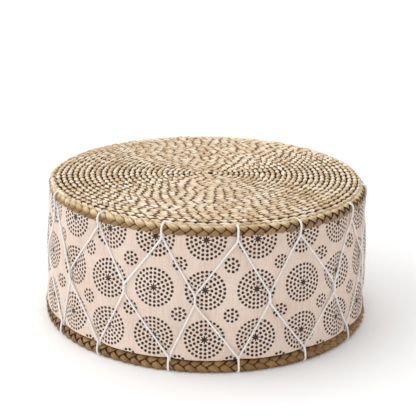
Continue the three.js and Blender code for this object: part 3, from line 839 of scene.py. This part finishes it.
def straps_piece(name, straps, girth):
    """Closed rings of points as one mesh, with lengthwise and crosswise UVs in metres.

    What would lie under the floor is pressed flat on it: a height z below h becomes h e^(z / h - 1).
    """
    all_faces, all_uv, start = [], [], 0
    for number, strap in enumerate(straps):
        rows, columns = strap["points"].shape[:2]
        faces, face_rows, face_columns, _ = outward_faces(strap["points"], True, True)
        u = strap["length"] * face_rows / rows
        v = girth * (face_columns / columns + number)
        all_faces.append(faces + start)
        all_uv.append(np.stack([u, v], axis=-1).reshape(-1, 2))
        start += rows * columns
    points = np.concatenate([strap["points"].reshape(-1, 3) for strap in straps])
    low = points[:, 2] < PRESSED_BELOW
    points[low, 2] = PRESSED_BELOW * np.exp(points[low, 2] / PRESSED_BELOW - 1)
    marks = {
        mark: np.concatenate([strap[mark].ravel() for strap in straps]) for mark in ("tone", "depth")
    }
    return mesh_piece(name, points, np.concatenate(all_faces).tolist(), np.concatenate(all_uv), marks)


def rim_plait(radius, out, box, down, **sizes):
    """A plait on a rim: half a width inside it, moved out, and halfway up its box, moved down."""
    low, high = box
    return {
        "centre": (radius - PLAIT_WIDTH / 2 + out, (low.z + high.z) / 2 - down),
        "half_height": (high.z - low.z) / 2,
        "swings": PLAIT_SWINGS,
        "ring_spacing": PLAIT_RING_SPACING,
        **sizes,
    }


# %% Plaits
SEAT_PLAIT_OUT = 0.3 * MM
SEAT_PLAIT_DOWN = 3.8 * MM
BASE_PLAIT_OUT = 1.2 * MM
BASE_PLAIT_DOWN = 0.9 * MM
seat_plait = rim_plait(
    SEAT_RADIUS,
    SEAT_PLAIT_OUT,
    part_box("seat_rim_plait"),
    SEAT_PLAIT_DOWN,
    sizes=(4.6 * MM, 3.4 * MM, 4.1 * MM, 2.3 * MM),
    heading=1,
    lean=(14, 18),
    loops=seat_loop_angles,
    bleach=1.1,
)
base_plait = rim_plait(
    BASE_RADIUS,
    BASE_PLAIT_OUT,
    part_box("base_rim_plait"),
    BASE_PLAIT_DOWN,
    sizes=(4.6 * MM, 3.4 * MM, 4.3 * MM, 2.5 * MM),
    heading=-1,
    lean=(36, 18),
    loops=base_loop_angles,
    bleach=0.3,
)
for name, plait, seed in (("seat", seat_plait, 31), ("base", base_plait, 32)):
    piece = straps_piece(f"{name}_plait", plait_straps(plait, seed), 4 * plait["sizes"][2])
    dress(piece, f"{name}_rim_plait", f"{name}_plait_reed")

# %% [markdown]
# ## The cover
#
# The cover is a strip of printed cotton, stretched round the padding and held only by the cord. It
# could be simulated, but the cord fixes its shape so firmly that a formula is closer: it is drawn in
# along every leg of the cord, fading with the distance, swells a little in the middle of each diamond,
# and puckers in short folds that spread from each place where cords meet. Both long edges are
# tucked in behind the plaits.


# %% The cord's stretches
def lacing_segments():
    """Start and end (angle, height) of every straight stretch of cord on the cover."""
    segments = []
    for loop, (middle, z) in enumerate(zip(crossing_angles, crossing_heights)):
        top, bottom = z + CROSSING_LENGTH / 2, z - CROSSING_LENGTH / 2
        segments.append((middle, top, middle, bottom))
        after = (loop + 1) % LOOPS
        turn = TURN if after == 0 else 0
        for angles, junction, edge, meets in (
            (seat_loop_angles, seat_junction, SIDE_TOP, top),
            (base_loop_angles, base_junction, SIDE_BOTTOM, bottom),
        ):
            segments += [
                (angles[loop], junction, middle, meets),
                (angles[after] + turn, junction, middle, meets),
                (angles[loop], junction, angles[loop], edge),
            ]
    return segments


def distance_to_cord(angle, z):
    """The shortest way along the cover from each point to any stretch of cord."""
    least = np.full(angle.shape, np.inf)
    for start_angle, start_z, end_angle, end_z in lacing_segments():
        run = np.array([(end_angle - start_angle) * MIDDLE_RADIUS, end_z - start_z])
        x = wrapped(angle - start_angle) * MIDDLE_RADIUS
        y = z - start_z
        share = np.clip((x * run[0] + y * run[1]) / (run @ run), 0, 1)
        least = np.minimum(least, np.hypot(x - share * run[0], y - share * run[1]))
    return least


# %% Folds
FOLD_HEIGHT = 0.55 * MM  # of a middling fold; the least has 0.6 and the greatest 1.4 of it
FOLD_START = 4 * MM
FOLD_REACH = 15 * MM
FOLDS_ROUND_A_JOINT = 7


def pucker(angle, z, random):
    """Folds that spread from each joint: a cosine of the bearing, fading with the distance."""
    total = np.zeros(angle.shape)
    joints = [
        *[(a, seat_junction) for a in seat_loop_angles],
        *[(a, base_junction) for a in base_loop_angles],
        *zip(crossing_angles, crossing_heights),
    ]
    for joint_angle, joint_z in joints:
        x = wrapped(angle - joint_angle) * MIDDLE_RADIUS
        y = z - joint_z
        away = np.hypot(x, y)
        folds = np.cos(FOLDS_ROUND_A_JOINT * np.arctan2(y, x) + TURN * random.random())
        near = 1 - np.exp(-((away / FOLD_START) ** 2))
        total += FOLD_HEIGHT * (0.6 + 0.8 * random.random()) * folds * near * np.exp(-away / FOLD_REACH)
    return total


# %% Cover
COVER_STEPS_ROUND = 600
COVER_STEPS_UP = 46
TUCK_STEPS = 7
TUCK_HEIGHT = 3 * MM
TUCK_DEPTH = 7 * MM
COVER_PILLOW = 1.1 * MM
PILLOW_REACH = 16 * MM
SINK_REACH = 8 * MM


def cover_profile():
    """Height and inset up the cover: a quarter round at each edge and even steps between."""
    quarter = np.linspace(0, math.pi / 2, TUCK_STEPS, endpoint=False)
    low, high = SIDE_BOTTOM + TUCK_HEIGHT, SIDE_TOP - TUCK_HEIGHT
    middle = np.linspace(low, high, COVER_STEPS_UP)
    bottom = low - TUCK_HEIGHT * np.cos(quarter)
    top = high + TUCK_HEIGHT * np.cos(quarter[::-1])
    inset = TUCK_DEPTH * (1 - np.sin(quarter))
    z = np.concatenate([bottom, middle, top])
    return z, np.concatenate([inset, np.zeros(COVER_STEPS_UP), inset[::-1]])


def make_cover():
    """Radius = the padded side, less the sink near the cord, plus pillow and folds, less the tuck."""
    random = np.random.default_rng(41)
    z, inset = cover_profile()
    angle = TURN * np.arange(COVER_STEPS_ROUND) / COVER_STEPS_ROUND + math.pi
    angles, heights = np.meshgrid(angle, z, indexing="ij")
    away = distance_to_cord(angles, heights)
    draw = CORD_SINK * np.exp(-away / SINK_REACH)
    pillow = COVER_PILLOW * (1 - np.exp(-((away / PILLOW_REACH) ** 2)))
    radius = cover_radius(heights) - draw + pillow + pucker(angles, heights, random) - inset[None, :]
    points = around(angles, radius, heights)
    girth = TURN * MIDDLE_RADIUS
    u = girth * np.arange(COVER_STEPS_ROUND + 1) / COVER_STEPS_ROUND
    steps = np.hypot(np.diff(z), np.diff(inset))
    v = SIDE_BOTTOM + np.concatenate([[0], np.cumsum(steps)]) - TUCK_DEPTH
    cover = grid_piece("printed_cover", points, u, v, close_rows=True, close_columns=False)
    return cover, girth, v[-1] - v[0]


printed_cover, cover_girth, cover_height = make_cover()
wall = printed_cover.modifiers.new("cloth thickness", "SOLIDIFY")
wall.thickness = CLOTH_THICKNESS
wall.offset = -1
print("the cover is cut", round(cover_height, 3), "by", round(cover_girth, 3), "m")

# %% [markdown]
# ## Printed cotton
#
# The cloth is plain-woven blush cotton, block-printed in black. The print is a generic traditional
# rosette: rings of dots round a small flower, repeated on a square grid, with a smaller motif
# between. Every ring has as many dots as fit, so its angle is cut into that many equal parts and the
# distance to the middle of the nearest part decides where the ink is. A little noise roughens the
# edge of the ink, as a hand-held block leaves it.

# %% Printed cotton
PRINT_REPEATS_ROUND = 22
PRINT_ROW_START = 44 * MM
DOT_RING_STEP = 5.3 * MM
DOT_SPACING = 5.6 * MM
DOT_RADIUS = 2.0 * MM
ROSETTE_RADIUS = 26.5 * MM
FLOWER_RADIUS = 6.5 * MM
FILLER_RADIUS = 9.5 * MM
PETALS = 8
PETAL_SWING = 1.3 * MM
PETAL_INSET = 2.2 * MM
RAGGED_EDGE = 1.1 * MM
THREAD_PITCH = 0.9 * MM


def ringed_dots(x, y, reach, start_at):
    """How far a point lies inside the nearest dot, in metres, below 0 outside.

    ring = floor(distance / step), its radius is (ring + 1/2) steps, its count is the rounded length of
    the ring over the spacing, and the arc to the nearest dot is the fraction left of angle x count.
    Only rings whose radius lies between start_at and reach have dots.
    """
    away = (x * x + y * y).math("SQRT")
    bearing = y.math("ARCTAN2", x) / TURN
    ring = (away / DOT_RING_STEP).math("FLOOR")
    ring_radius = (ring + 0.5) * DOT_RING_STEP
    count = (ring_radius * (TURN / DOT_SPACING)).math("ROUND")
    part = (bearing * count + ring * 0.5).math("FRACT")
    arc = (part - 0.5) * TURN * ring_radius / count
    off_ring = away - ring_radius
    inside = DOT_RADIUS - (arc * arc + off_ring * off_ring).math("SQRT")
    inside = inside.math("MINIMUM", reach - ring_radius).math("MINIMUM", ring_radius - start_at)
    return inside, away, bearing


def cell(value, size, shift):
    """The distance from the middle of the nearest repeat."""
    share = (value * (1 / size) + shift).math("FRACT")
    return (share - 0.5) * size


def make_printed_cotton():
    """Ink where any motif's distance is above 0, over cloth with slubs along its threads."""
    recipe = Recipe("printed_cotton")
    uv = recipe.uv()
    x, y = recipe.split(uv)
    size = cover_girth / PRINT_REPEATS_ROUND
    start = PRINT_ROW_START / size
    middle = cell(x, size, 0.5), cell(y, size, 0.5 - start)
    rosette, away, bearing = ringed_dots(*middle, ROSETTE_RADIUS, FLOWER_RADIUS)
    petals = (bearing * (TURN * PETALS)).math("COSINE")
    flower = petals * PETAL_SWING + (FLOWER_RADIUS - PETAL_INSET) - away
    between = cell(x, size, 0.0), cell(y, size, -start)
    filler, _, _ = ringed_dots(*between, FILLER_RADIUS, -1.0)
    ragged = recipe.noise(uv, 700.0) * RAGGED_EDGE - RAGGED_EDGE / 2
    inside = rosette.math("MAXIMUM", flower).math("MAXIMUM", filler) + ragged
    worn = recipe.span(recipe.noise(uv, 260.0, 3.0, 0.6), 0.32, 0.5, 0.9, 1.0)
    ink = recipe.span(inside, -0.12 * MM, 0.25 * MM, 0.0, 0.97) * worn
    slubs = recipe.noise(uv, (900, 45, 1), 3.0, 0.6)
    weft = recipe.noise(uv, (60, 1300, 1))
    blotches = recipe.noise(uv, 14.0, 3.0)
    value = slubs * 0.5 + weft * 0.25 + blotches * 0.3
    cloth = recipe.ramp(value, (0.36, "D8BEAC"), (0.52, "E7D0C0"), (0.68, "F2E1D3"))
    colour = recipe.mix(ink, cloth, "0F0C0C")
    along, across = ((axis * (TURN / THREAD_PITCH)).math("SINE") for axis in (x, y))
    recipe.bump(slubs * 1.4 + along * across * 0.35, 0.35 * MM, 0.7)
    recipe.shader.inputs["Sheen Weight"].default_value = 0.06
    recipe.shader.inputs["Sheen Roughness"].default_value = 0.5
    recipe.surface(colour, recipe.span(ink, 0.0, 1.0, 0.9, 0.78), 0.25)


make_printed_cotton()
dress(printed_cover, "side_cover", "printed_cotton")

# %% [markdown]
# ## Padding and pads
#
# Behind the cover lies a wrap of carded cotton, and under the seat and over the base mat lies a pad of
# coir felt. None of it shows, but it gives the stool its soft side. The wrap is a ring of rounded
# section with soft lumps, and each pad is a turned disc with rounded edges.


# %% Padding
WADDING_STEPS = 240
WADDING_SIDES = 28
WADDING_SQUARENESS = 6
WADDING_BORE_INSET = 26 * MM
WADDING_LUMPS = 0.4 * MM
LUMPS_ROUND = (7, 13, 22)
LUMPS_LEAN = 9  # radians by which the lumps turn from the wadding's middle to its edge


def make_wadding():
    """A ring of superellipse section between the core and the cover, swollen by slow noise."""
    low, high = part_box("side_wadding")
    random = np.random.default_rng(51)
    angle = TURN * np.arange(WADDING_STEPS) / WADDING_STEPS
    across, up = rounded_section(WADDING_SIDES, WADDING_SQUARENESS)
    half_height = (high.z - low.z) / 2
    z = (high.z + low.z) / 2 + half_height * up
    outer = cover_radius(z) - COVER_BELLY - CORD_SINK - CLOTH_THICKNESS
    inner = high.x - WADDING_BORE_INSET
    radius = (outer + inner) / 2 + across * (outer - inner) / 2
    lean = LUMPS_LEAN * up[None, :]
    lumps = sum(
        WADDING_LUMPS * np.sin(count * angle[:, None] + TURN * random.random() + lean)
        for count in LUMPS_ROUND
    )
    points = around(angle[:, None], radius[None, :] + lumps * (across[None, :] > 0), z[None, :])
    u = TURN * inner * np.arange(WADDING_STEPS + 1) / WADDING_STEPS
    v = np.linspace(0, 4 * half_height, WADDING_SIDES + 1)
    return grid_piece("cotton_wrap", points, u, v, close_rows=True)


# %% Pads
PAD_STEPS = 96
PAD_RINGS = 14
PAD_MIDDLE = 20 * MM
PAD_EDGE_ROUND = 2.6 * MM


def make_pad(name, node):
    """A disc turned from a profile that starts and ends on the axis, with both poles as one point."""
    low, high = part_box(node)
    quarter = np.linspace(0, math.pi / 2, 5)[1:]
    rim = high.x - PAD_EDGE_ROUND
    level = np.linspace(PAD_MIDDLE, rim, PAD_RINGS)
    edge = rim + PAD_EDGE_ROUND * np.sin(quarter)
    rise = PAD_EDGE_ROUND * (1 - np.cos(quarter))
    radius = np.concatenate([level, edge, edge[::-1], level[::-1]])
    under = np.concatenate([np.full(PAD_RINGS, low.z), low.z + rise])
    over = np.concatenate([(high.z - rise)[::-1], np.full(PAD_RINGS, high.z)])
    z = np.concatenate([under, over])
    columns = len(z)
    angle = TURN * np.arange(PAD_STEPS) / PAD_STEPS
    rings = around(angle[:, None], radius[None, :], z[None, :])
    corner_rows, corner_columns = grid_corners(PAD_STEPS, columns, True, False)
    faces = ((corner_rows % PAD_STEPS) * columns + corner_columns).tolist()
    points = np.concatenate([rings.reshape(-1, 3), [[0, 0, low.z], [0, 0, high.z]]])
    here = columns * np.arange(PAD_STEPS)
    after = np.roll(here, -1)
    bottom = np.full(PAD_STEPS, PAD_STEPS * columns)
    for corners in ((bottom, here, after), (bottom + 1, after + columns - 1, here + columns - 1)):
        faces += np.stack(corners, axis=1).tolist()
    return mesh_piece(name, points, faces)


# %% Fibre finishes
def fibre_finish(name, dark, pale, cells, roughness):
    """Two crossed layers of stretched noise for matted fibre."""
    recipe = Recipe(name)
    place = recipe.place()
    lengthwise = recipe.noise(place, (cells, cells * 6, cells), 4.0, 0.65)
    crosswise = recipe.noise(place, (cells * 6, cells, cells * 3), 4.0, 0.65)
    value = (lengthwise + crosswise) * 0.5
    recipe.bump(value, 1.5 * MM)
    recipe.surface(recipe.ramp(value, (0.38, dark), (0.62, pale)), roughness, 0.2)


fibre_finish("coir_felt", "2E1E10", "5E4526", 130, 0.95)
fibre_finish("cotton_wadding", "DDD6C6", "F4F0E6", 60, 0.98)
for piece, node, slot, fill in (
    (make_wadding(), "side_wadding", "cotton_wadding", 0.6),
    (make_pad("seat_coir_pad", "seat_pad"), "seat_pad", "coir_felt", 0.9),
    (make_pad("base_coir_pad", "base_pad"), "base_pad", "coir_felt", 0.9),
):
    dress(piece, node, slot)

# %% [markdown]
# ## The base mat
#
# The underside is closed by flat plaits, laid face down as rings and sewn edge to edge, round a small
# wound button. The rings are the rim's own surface again with other sizes: the face looks down, so
# its lean is a quarter turn below level.

# %% Base mat
BASE_MAT_RINGS = 10
STRAP_STEP = 21 * MM  # from one leaf to the next on a ring
RING_CLEARANCE = 0.05 * MM
MAT_RING_SPACING = 2.1 * PLAIT_RING_SPACING  # coarser than on the rims, as the mat hardly shows
base_mat_low, base_mat_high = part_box("base_mat")
ring_width = BASE_EDGE / BASE_MAT_RINGS
mat_half = (base_mat_high.z - base_mat_low.z) / 2
ring_sizes = (0.40 * ring_width, 0.44 * mat_half, 0.29 * ring_width, 0.54 * mat_half)


def ring_plait(ring):
    """The plait of one ring: as many swings as fit, three leaves to a swing."""
    radius = (ring + 0.5) * ring_width
    return {
        "centre": (radius, base_mat_low.z + mat_half + RING_CLEARANCE),
        "sizes": ring_sizes,
        "swings": round(TURN * radius / (3 * STRAP_STEP)),
        "heading": 1 if ring % 2 else -1,
        "lean": (-90, 0),
        "loops": None,
        "bleach": 0,
        "ring_spacing": MAT_RING_SPACING,
    }


mat_straps = []
for ring in range(1, BASE_MAT_RINGS):
    mat_straps += plait_straps(ring_plait(ring), 60 + ring)
button_sizes = {
    "rows": 4,
    "facing": -1,
    "first_radius": 2.4 * MM,
    "edge": ring_width - 0.5 * MM,
    "rim_drop": 0,
    "swell": 0,
    "tilt": 0,
    "level": base_mat_low.z + mat_half,
    "crown": (2.6 * MM, 0.5 * mat_half),
    "neck": (1.5 * MM, 0.4 * mat_half),
    "lift": 0.3 * mat_half,
    "aside": 1.4 * MM,
    "lay": 22 * MM,
    "ring_spacing": 1.6 * MM,
}
dress(straps_piece("base_mat_rings", mat_straps, 4 * ring_sizes[2]), "base_mat", "base_reed")
make_winding("base_mat_button", button_sizes, 70, "base_mat", "base_reed")

# %% [markdown]
# ## The core
#
# The reed bundles and the two cane hoops stay as the CAD model has them, and get their finishes: raw
# stems with upright streaks for the bundles, smooth yellow cane for the hoops.


# %% Core finishes
def stem_finish(name, cells, shades, roughness):
    """Noise stretched along the stems picks a shade, and the same noise grooves the surface."""
    recipe = Recipe(name)
    place = recipe.place()
    stems = recipe.noise(place, cells, 3.0, 0.6)
    patches = recipe.noise(place, 30.0, 3.0, 0.6)
    recipe.bump(stems, 1.2 * MM)
    return recipe.surface(recipe.ramp(patches * 0.3 + stems * 0.7, *shades), roughness, 0.4)


bundle_shades = (0.35, "7D5E34"), (0.5, "B0905A"), (0.65, "CDB384")
hoop_shades = (0.35, "9C6F38"), (0.5, "BD9050"), (0.65, "D4AC70")
core_finishes = {
    "reed_bundle": stem_finish("core_reed", (260, 260, 6), bundle_shades, 0.7),
    "core_hoop": stem_finish("cane", (40, 40, 260), hoop_shades, 0.5),
}
for start, finish in core_finishes.items():
    for node_name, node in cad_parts.items():
        if node_name.startswith(start):
            node.data.materials.clear()
            node.data.materials.append(finish)
print("core nodes finished")

# %% [markdown]
# ## The lacing cord
#
# The cord is held all the way, so its route is settled: straight legs on the cover, short upright
# runs where two legs cross one over the other, and a loop round a plait at the end of each leg. Its
# points are the CAD model's. They are joined by straight lines, sampled finely, and smoothed by a
# Gaussian, which rounds the corners as a limp cord does. The section has three lobes that wind round,
# one for each ply. Where the two ends meet, at the back, they are tied by three turns round the cord.

# %% Cord route
CORD_RADIUS = CORD_DIAMETER / 2
FIT_GAP = 0.3 * MM
KNOT_LEG = 6  # the leg that the route starts with
COLUMN_ARC = SEAT_RADIUS * LOOP_ANGLE / 6  # a sixth of the way between two loops
STRAND_ASIDE = 0.4 * MM  # of each strand from the middle of its loop, where one lies on the other
PLAIT_FLAT_SHARE = 0.5
LEG_STEPS = 60
LIFT_ON_LEG = CORD_RADIUS
CROSSING_STACK = CORD_DIAMETER * 0.9
CLIMB_SPAN = (0.55, 0.4)  # of a leg's three parts, where the outer leg climbs over the other one
ARRIVAL_SPAN = (2.72, 0.2)  # and where a leg climbs over the strand that leaves its loop


def lift_in_dip(sink):
    """A strand's height over the bottom of its dip: its radius + the gap + sink x diameter / column."""
    return CORD_RADIUS + FIT_GAP + sink * CORD_DIAMETER / COLUMN_ARC


def leg_points(leg, down):
    """A leg from a loop to the next loop on the other plait, on the drawn-in cover.

    Angle and height run straight from one junction to the crossing, down or up the crossing, and
    straight to the other junction. The radius is the cover's, less the sink, plus the cord's lift. A
    leg climbs over the other one at a crossing, if it is the outer one, and as it comes to its loop,
    where the strand that leaves the loop lies under it.
    """
    loop = leg % LOOPS
    after = (leg + 1) % LOOPS
    rounds = leg // LOOPS * TURN
    next_rounds = rounds + (TURN if after == 0 else 0)
    ends = [(seat_loop_angles, seat_junction), (base_loop_angles, base_junction)]
    (first, first_z), (last, last_z) = ends if down else ends[::-1]
    aside = STRAND_ASIDE / SEAT_RADIUS
    half = CROSSING_LENGTH / 2 * (-1 if down else 1)
    middle_angle, middle_z = crossing_angles[loop] + rounds, crossing_heights[loop]
    knots = np.array([
        (first[loop] + rounds + aside, first_z),
        (middle_angle, middle_z - half),
        (middle_angle, middle_z + half),
        (last[after] + next_rounds - aside, last_z),
    ])
    outside = loop % 2 == (0 if down else 1)
    share = np.linspace(0, 3, LEG_STEPS)
    angle = np.interp(share, range(4), knots[:, 0])
    z = np.interp(share, range(4), knots[:, 1])
    stack = CROSSING_STACK * ramp_up(share, CLIMB_SPAN) * ramp_up(3 - share, CLIMB_SPAN)
    arrival = CROSSING_STACK * ramp_up(share, ARRIVAL_SPAN)
    lift = LIFT_ON_LEG + arrival + (stack if outside else 0)
    return around(angle, cover_radius(z) - CORD_SINK + lift, z)


def loop_points(plait, side, angle):
    """Up the plait's outer face, over it, down behind it and out between it and the cover."""
    centre_radius, centre_z = plait["centre"]
    half_width, half_height = PLAIT_WIDTH / 2, plait["half_height"]
    away_sink = PLAIT_SINK if side > 0 else CORD_SINK
    outer = half_width - PLAIT_SINK + lift_in_dip(PLAIT_SINK)
    inner = half_width - CORD_SINK + lift_in_dip(CORD_SINK)
    away = half_height - away_sink + lift_in_dip(away_sink)
    to_cover = half_height - CORD_SINK + lift_in_dip(CORD_SINK)
    cover_edge = SIDE_TOP if side > 0 else SIDE_BOTTOM
    leave = cover_radius(cover_edge) - CORD_SINK + lift_in_dip(CORD_SINK) - centre_radius
    corners = np.array([
        (outer, -to_cover * PLAIT_FLAT_SHARE),
        (outer, away * PLAIT_FLAT_SHARE),
        (outer * PLAIT_FLAT_SHARE, away),
        (-inner, away),
        (-inner, -to_cover),
        (leave, -to_cover),
    ])
    offset = np.linspace(-STRAND_ASIDE, STRAND_ASIDE, len(corners))
    radius = centre_radius + corners[:, 0]
    return around(angle + offset / radius, radius, centre_z + side * corners[:, 1])


def lacing_route():
    """Thirty legs, each followed by its loop, as one closed line of points."""
    parts = []
    for leg in range(KNOT_LEG, KNOT_LEG + 2 * LOOPS):
        down = leg % 2 == 0
        plait, side = (base_plait, -1) if down else (seat_plait, 1)
        angle = plait["loops"][(leg + 1) % LOOPS] + (leg + 1) // LOOPS * TURN
        parts += [leg_points(leg, down), loop_points(plait, side, angle)]
    return np.concatenate(parts)


# %% Even and soft lines
def even_line(points, spacing, closed=True):
    """The points of a line at even steps of its length."""
    if closed:
        points = np.concatenate([points, points[:1]])
    length = np.concatenate([[0], np.cumsum(np.linalg.norm(np.diff(points, axis=0), axis=1))])
    count = round(length[-1] / spacing)
    at = length[-1] * np.arange(count if closed else count + 1) / count
    return np.stack([np.interp(at, length, points[:, axis]) for axis in range(3)], axis=1), length[-1]


def softened(points, softness, spacing):
    """A closed line smoothed by a Gaussian along its length, by the product of Fourier transforms."""
    cycles = np.fft.fftfreq(len(points), spacing)
    fade = np.exp(-2 * (np.pi * cycles * softness) ** 2)
    return np.real(np.fft.ifft(np.fft.fft(points, axis=0) * fade[:, None], axis=0))


# %% Cord tube
CORD_SIDES = 12
CORD_LAY = 10 * MM
PLIES = 3
PLY_SHARE = 0.09


def carried_frames(line, closed):
    """Side and up along a line: each side is the one before it, made square to the line.

    On a closed line the angle that is left over at the end is spread evenly over its length.
    """
    forward = directions(line)
    if not closed:
        forward[[0, -1]] = unit(line[[1, -1]] - line[[0, -2]])
    side = np.empty_like(line)
    current = np.cross(forward[0], [0, 0, 1.0])
    for i, direction in enumerate(forward):
        current = unit(current - direction * (current @ direction))
        side[i] = current
    up = np.cross(forward, side)
    if closed:
        last = current - forward[0] * (current @ forward[0])
        left_over = math.atan2(last @ up[0], last @ side[0])
        turn = -left_over * np.arange(len(line))[:, None] / len(line)
        side, up = side * np.cos(turn) + up * np.sin(turn), up * np.cos(turn) - side * np.sin(turn)
    return side, up


def cord_tube(name, line, length, closed):
    """A tube whose radius is r (1 + ply x cos 3 a), turned by whole turns with the lay."""
    side, up = carried_frames(line, closed)
    along = length * np.arange(len(line)) / len(line)
    twist = TURN * round(length / CORD_LAY) * along / length
    corner = TURN * np.arange(CORD_SIDES) / CORD_SIDES
    ply = np.cos(PLIES * corner)
    radius = CORD_RADIUS * (1 + PLY_SHARE * ply)
    turned = corner[None, :] + twist[:, None]
    points = carried(line, side, radius * np.cos(turned), up, radius * np.sin(turned))
    u = length * np.arange(len(line) + 1) / len(line)
    v = TURN * CORD_RADIUS * np.arange(CORD_SIDES + 1) / CORD_SIDES
    # painted shade: the grooves between the plies count as deep
    depth = np.broadcast_to((1 - ply) / 2, points.shape[:2])
    return grid_piece(name, points, u, v, close_rows=closed, caps=not closed, marks={"depth": depth})


# %% Lacing line and knot
CORD_SAMPLE = 0.5 * MM
CORD_SOFTNESS = 1.7 * MM
CORD_RING_SPACING = 1.25 * MM
KNOT_TURNS = 3
KNOT_STEPS = 24
END_STEPS = 12
KNOT_REACH = 9 * MM
KNOT_END = 13 * MM


def lacing_line():
    """The softened route, kept off the floor, and lifted by a cord where the knot goes round it."""
    route, _ = even_line(lacing_route(), CORD_SAMPLE)
    line, length = even_line(softened(route, CORD_SOFTNESS, CORD_SAMPLE), CORD_RING_SPACING)
    line[:, 2] = np.maximum(line[:, 2], CORD_RADIUS * (1 + PLY_SHARE))
    knot_low, knot_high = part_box("lacing_knot")
    middle = np.array([(low + high) / 2 for low, high in zip(knot_low, knot_high)])
    at = int(np.linalg.norm(line - middle, axis=1).argmin())
    steps = (np.arange(len(line)) - at + len(line) // 2) % len(line) - len(line) // 2
    rise = CORD_DIAMETER * np.exp(-((steps * CORD_RING_SPACING / KNOT_REACH) ** 2))
    return line + unit(line * [1, 1, 0]) * rise[:, None], length, at


def knot_line(line, at):
    """Three turns round the lacing cord, between two short ends that fall on to the cover.

    A turn lies one cord's thickness d from the cord's middle c: c + t x pitch x turns + d (n cos a +
    b sin a). An end leaves it sideways and falls by the square of its share.
    """
    forward = unit(line[at + 1] - line[at - 1])
    outward = line[at] * [1, 1, 0]
    outward = unit(outward - forward * (outward @ forward))
    sideways = np.cross(forward, outward)
    turns = np.linspace(0, KNOT_TURNS, KNOT_STEPS * KNOT_TURNS + 1)
    share = np.linspace(0, 1, END_STEPS)[1:]
    fall = CORD_DIAMETER - 2 * CORD_DIAMETER * share**2
    ends = KNOT_END * share
    half = KNOT_TURNS / 2
    forwards = CORD_DIAMETER * np.concatenate([-half - share[::-1], turns - half, half + share])
    outwards = np.concatenate([fall[::-1], CORD_DIAMETER * np.cos(TURN * turns), fall])
    sideways_by = np.concatenate([-ends[::-1], CORD_DIAMETER * np.sin(TURN * turns), ends])
    points = line[at] + np.outer(forwards, forward) + np.outer(outwards, outward)
    return even_line(points + np.outer(sideways_by, sideways), CORD_SAMPLE, closed=False)


# %% Cord
def make_white_cord():
    """Near white cotton with fine fibre streaks, and painted shade in the grooves between the plies."""
    recipe = Recipe("white_cord")
    fibres = recipe.noise(recipe.uv(), (900, 2600, 1), 2.0, 0.6)
    soiling = recipe.noise(recipe.place(), 22.0, 3.0, 0.6)
    value = soiling * 0.6 + fibres * 0.4
    colour = recipe.ramp(value, (0.34, "F3F1EE"), (0.5, "FBFAF8"), (0.66, "FFFFFE"))
    # painted shade in the grooves between the plies
    colour = recipe.mix(recipe.span(recipe.mark("depth"), 0.6, 1.0, 0.0, 0.4), colour, "C9C1B8")
    recipe.bump(fibres, 0.2 * MM)
    recipe.surface(colour, 0.85, 0.25)


make_white_cord()
cord_line, cord_length, knot_at = lacing_line()
knot_path, knot_length = knot_line(cord_line, knot_at)
dress(cord_tube("lacing", cord_line, cord_length, True), "lacing_cord", "white_cord")
dress(cord_tube("lacing_end_knot", knot_path, knot_length, False), "lacing_knot", "white_cord")
print("the lacing cord is", round(cord_length, 3), "m long, and its knot takes", round(knot_length, 3))

# %% [markdown]
# ## Floor
#
# A plain pale floor that takes the stool's shadow.

# %% Floor
FLOOR_SIZE = 40


def make_floor():
    """A level square under the stool, with the faintest grain so that it isn't a flat colour."""
    half = FLOOR_SIZE / 2
    points = np.array([(-half, -half, 0), (half, -half, 0), (half, half, 0), (-half, half, 0)])
    floor = mesh_piece("floor", points, [[0, 1, 2, 3]])
    recipe = Recipe("floor_paint")
    colour = recipe.ramp(recipe.noise(recipe.place(), 3.0, 3.0), (0.3, "FBFBFB"), (0.7, "FDFDFD"))
    floor.data.materials.append(recipe.surface(colour, 0.9, 0.0))


make_floor()
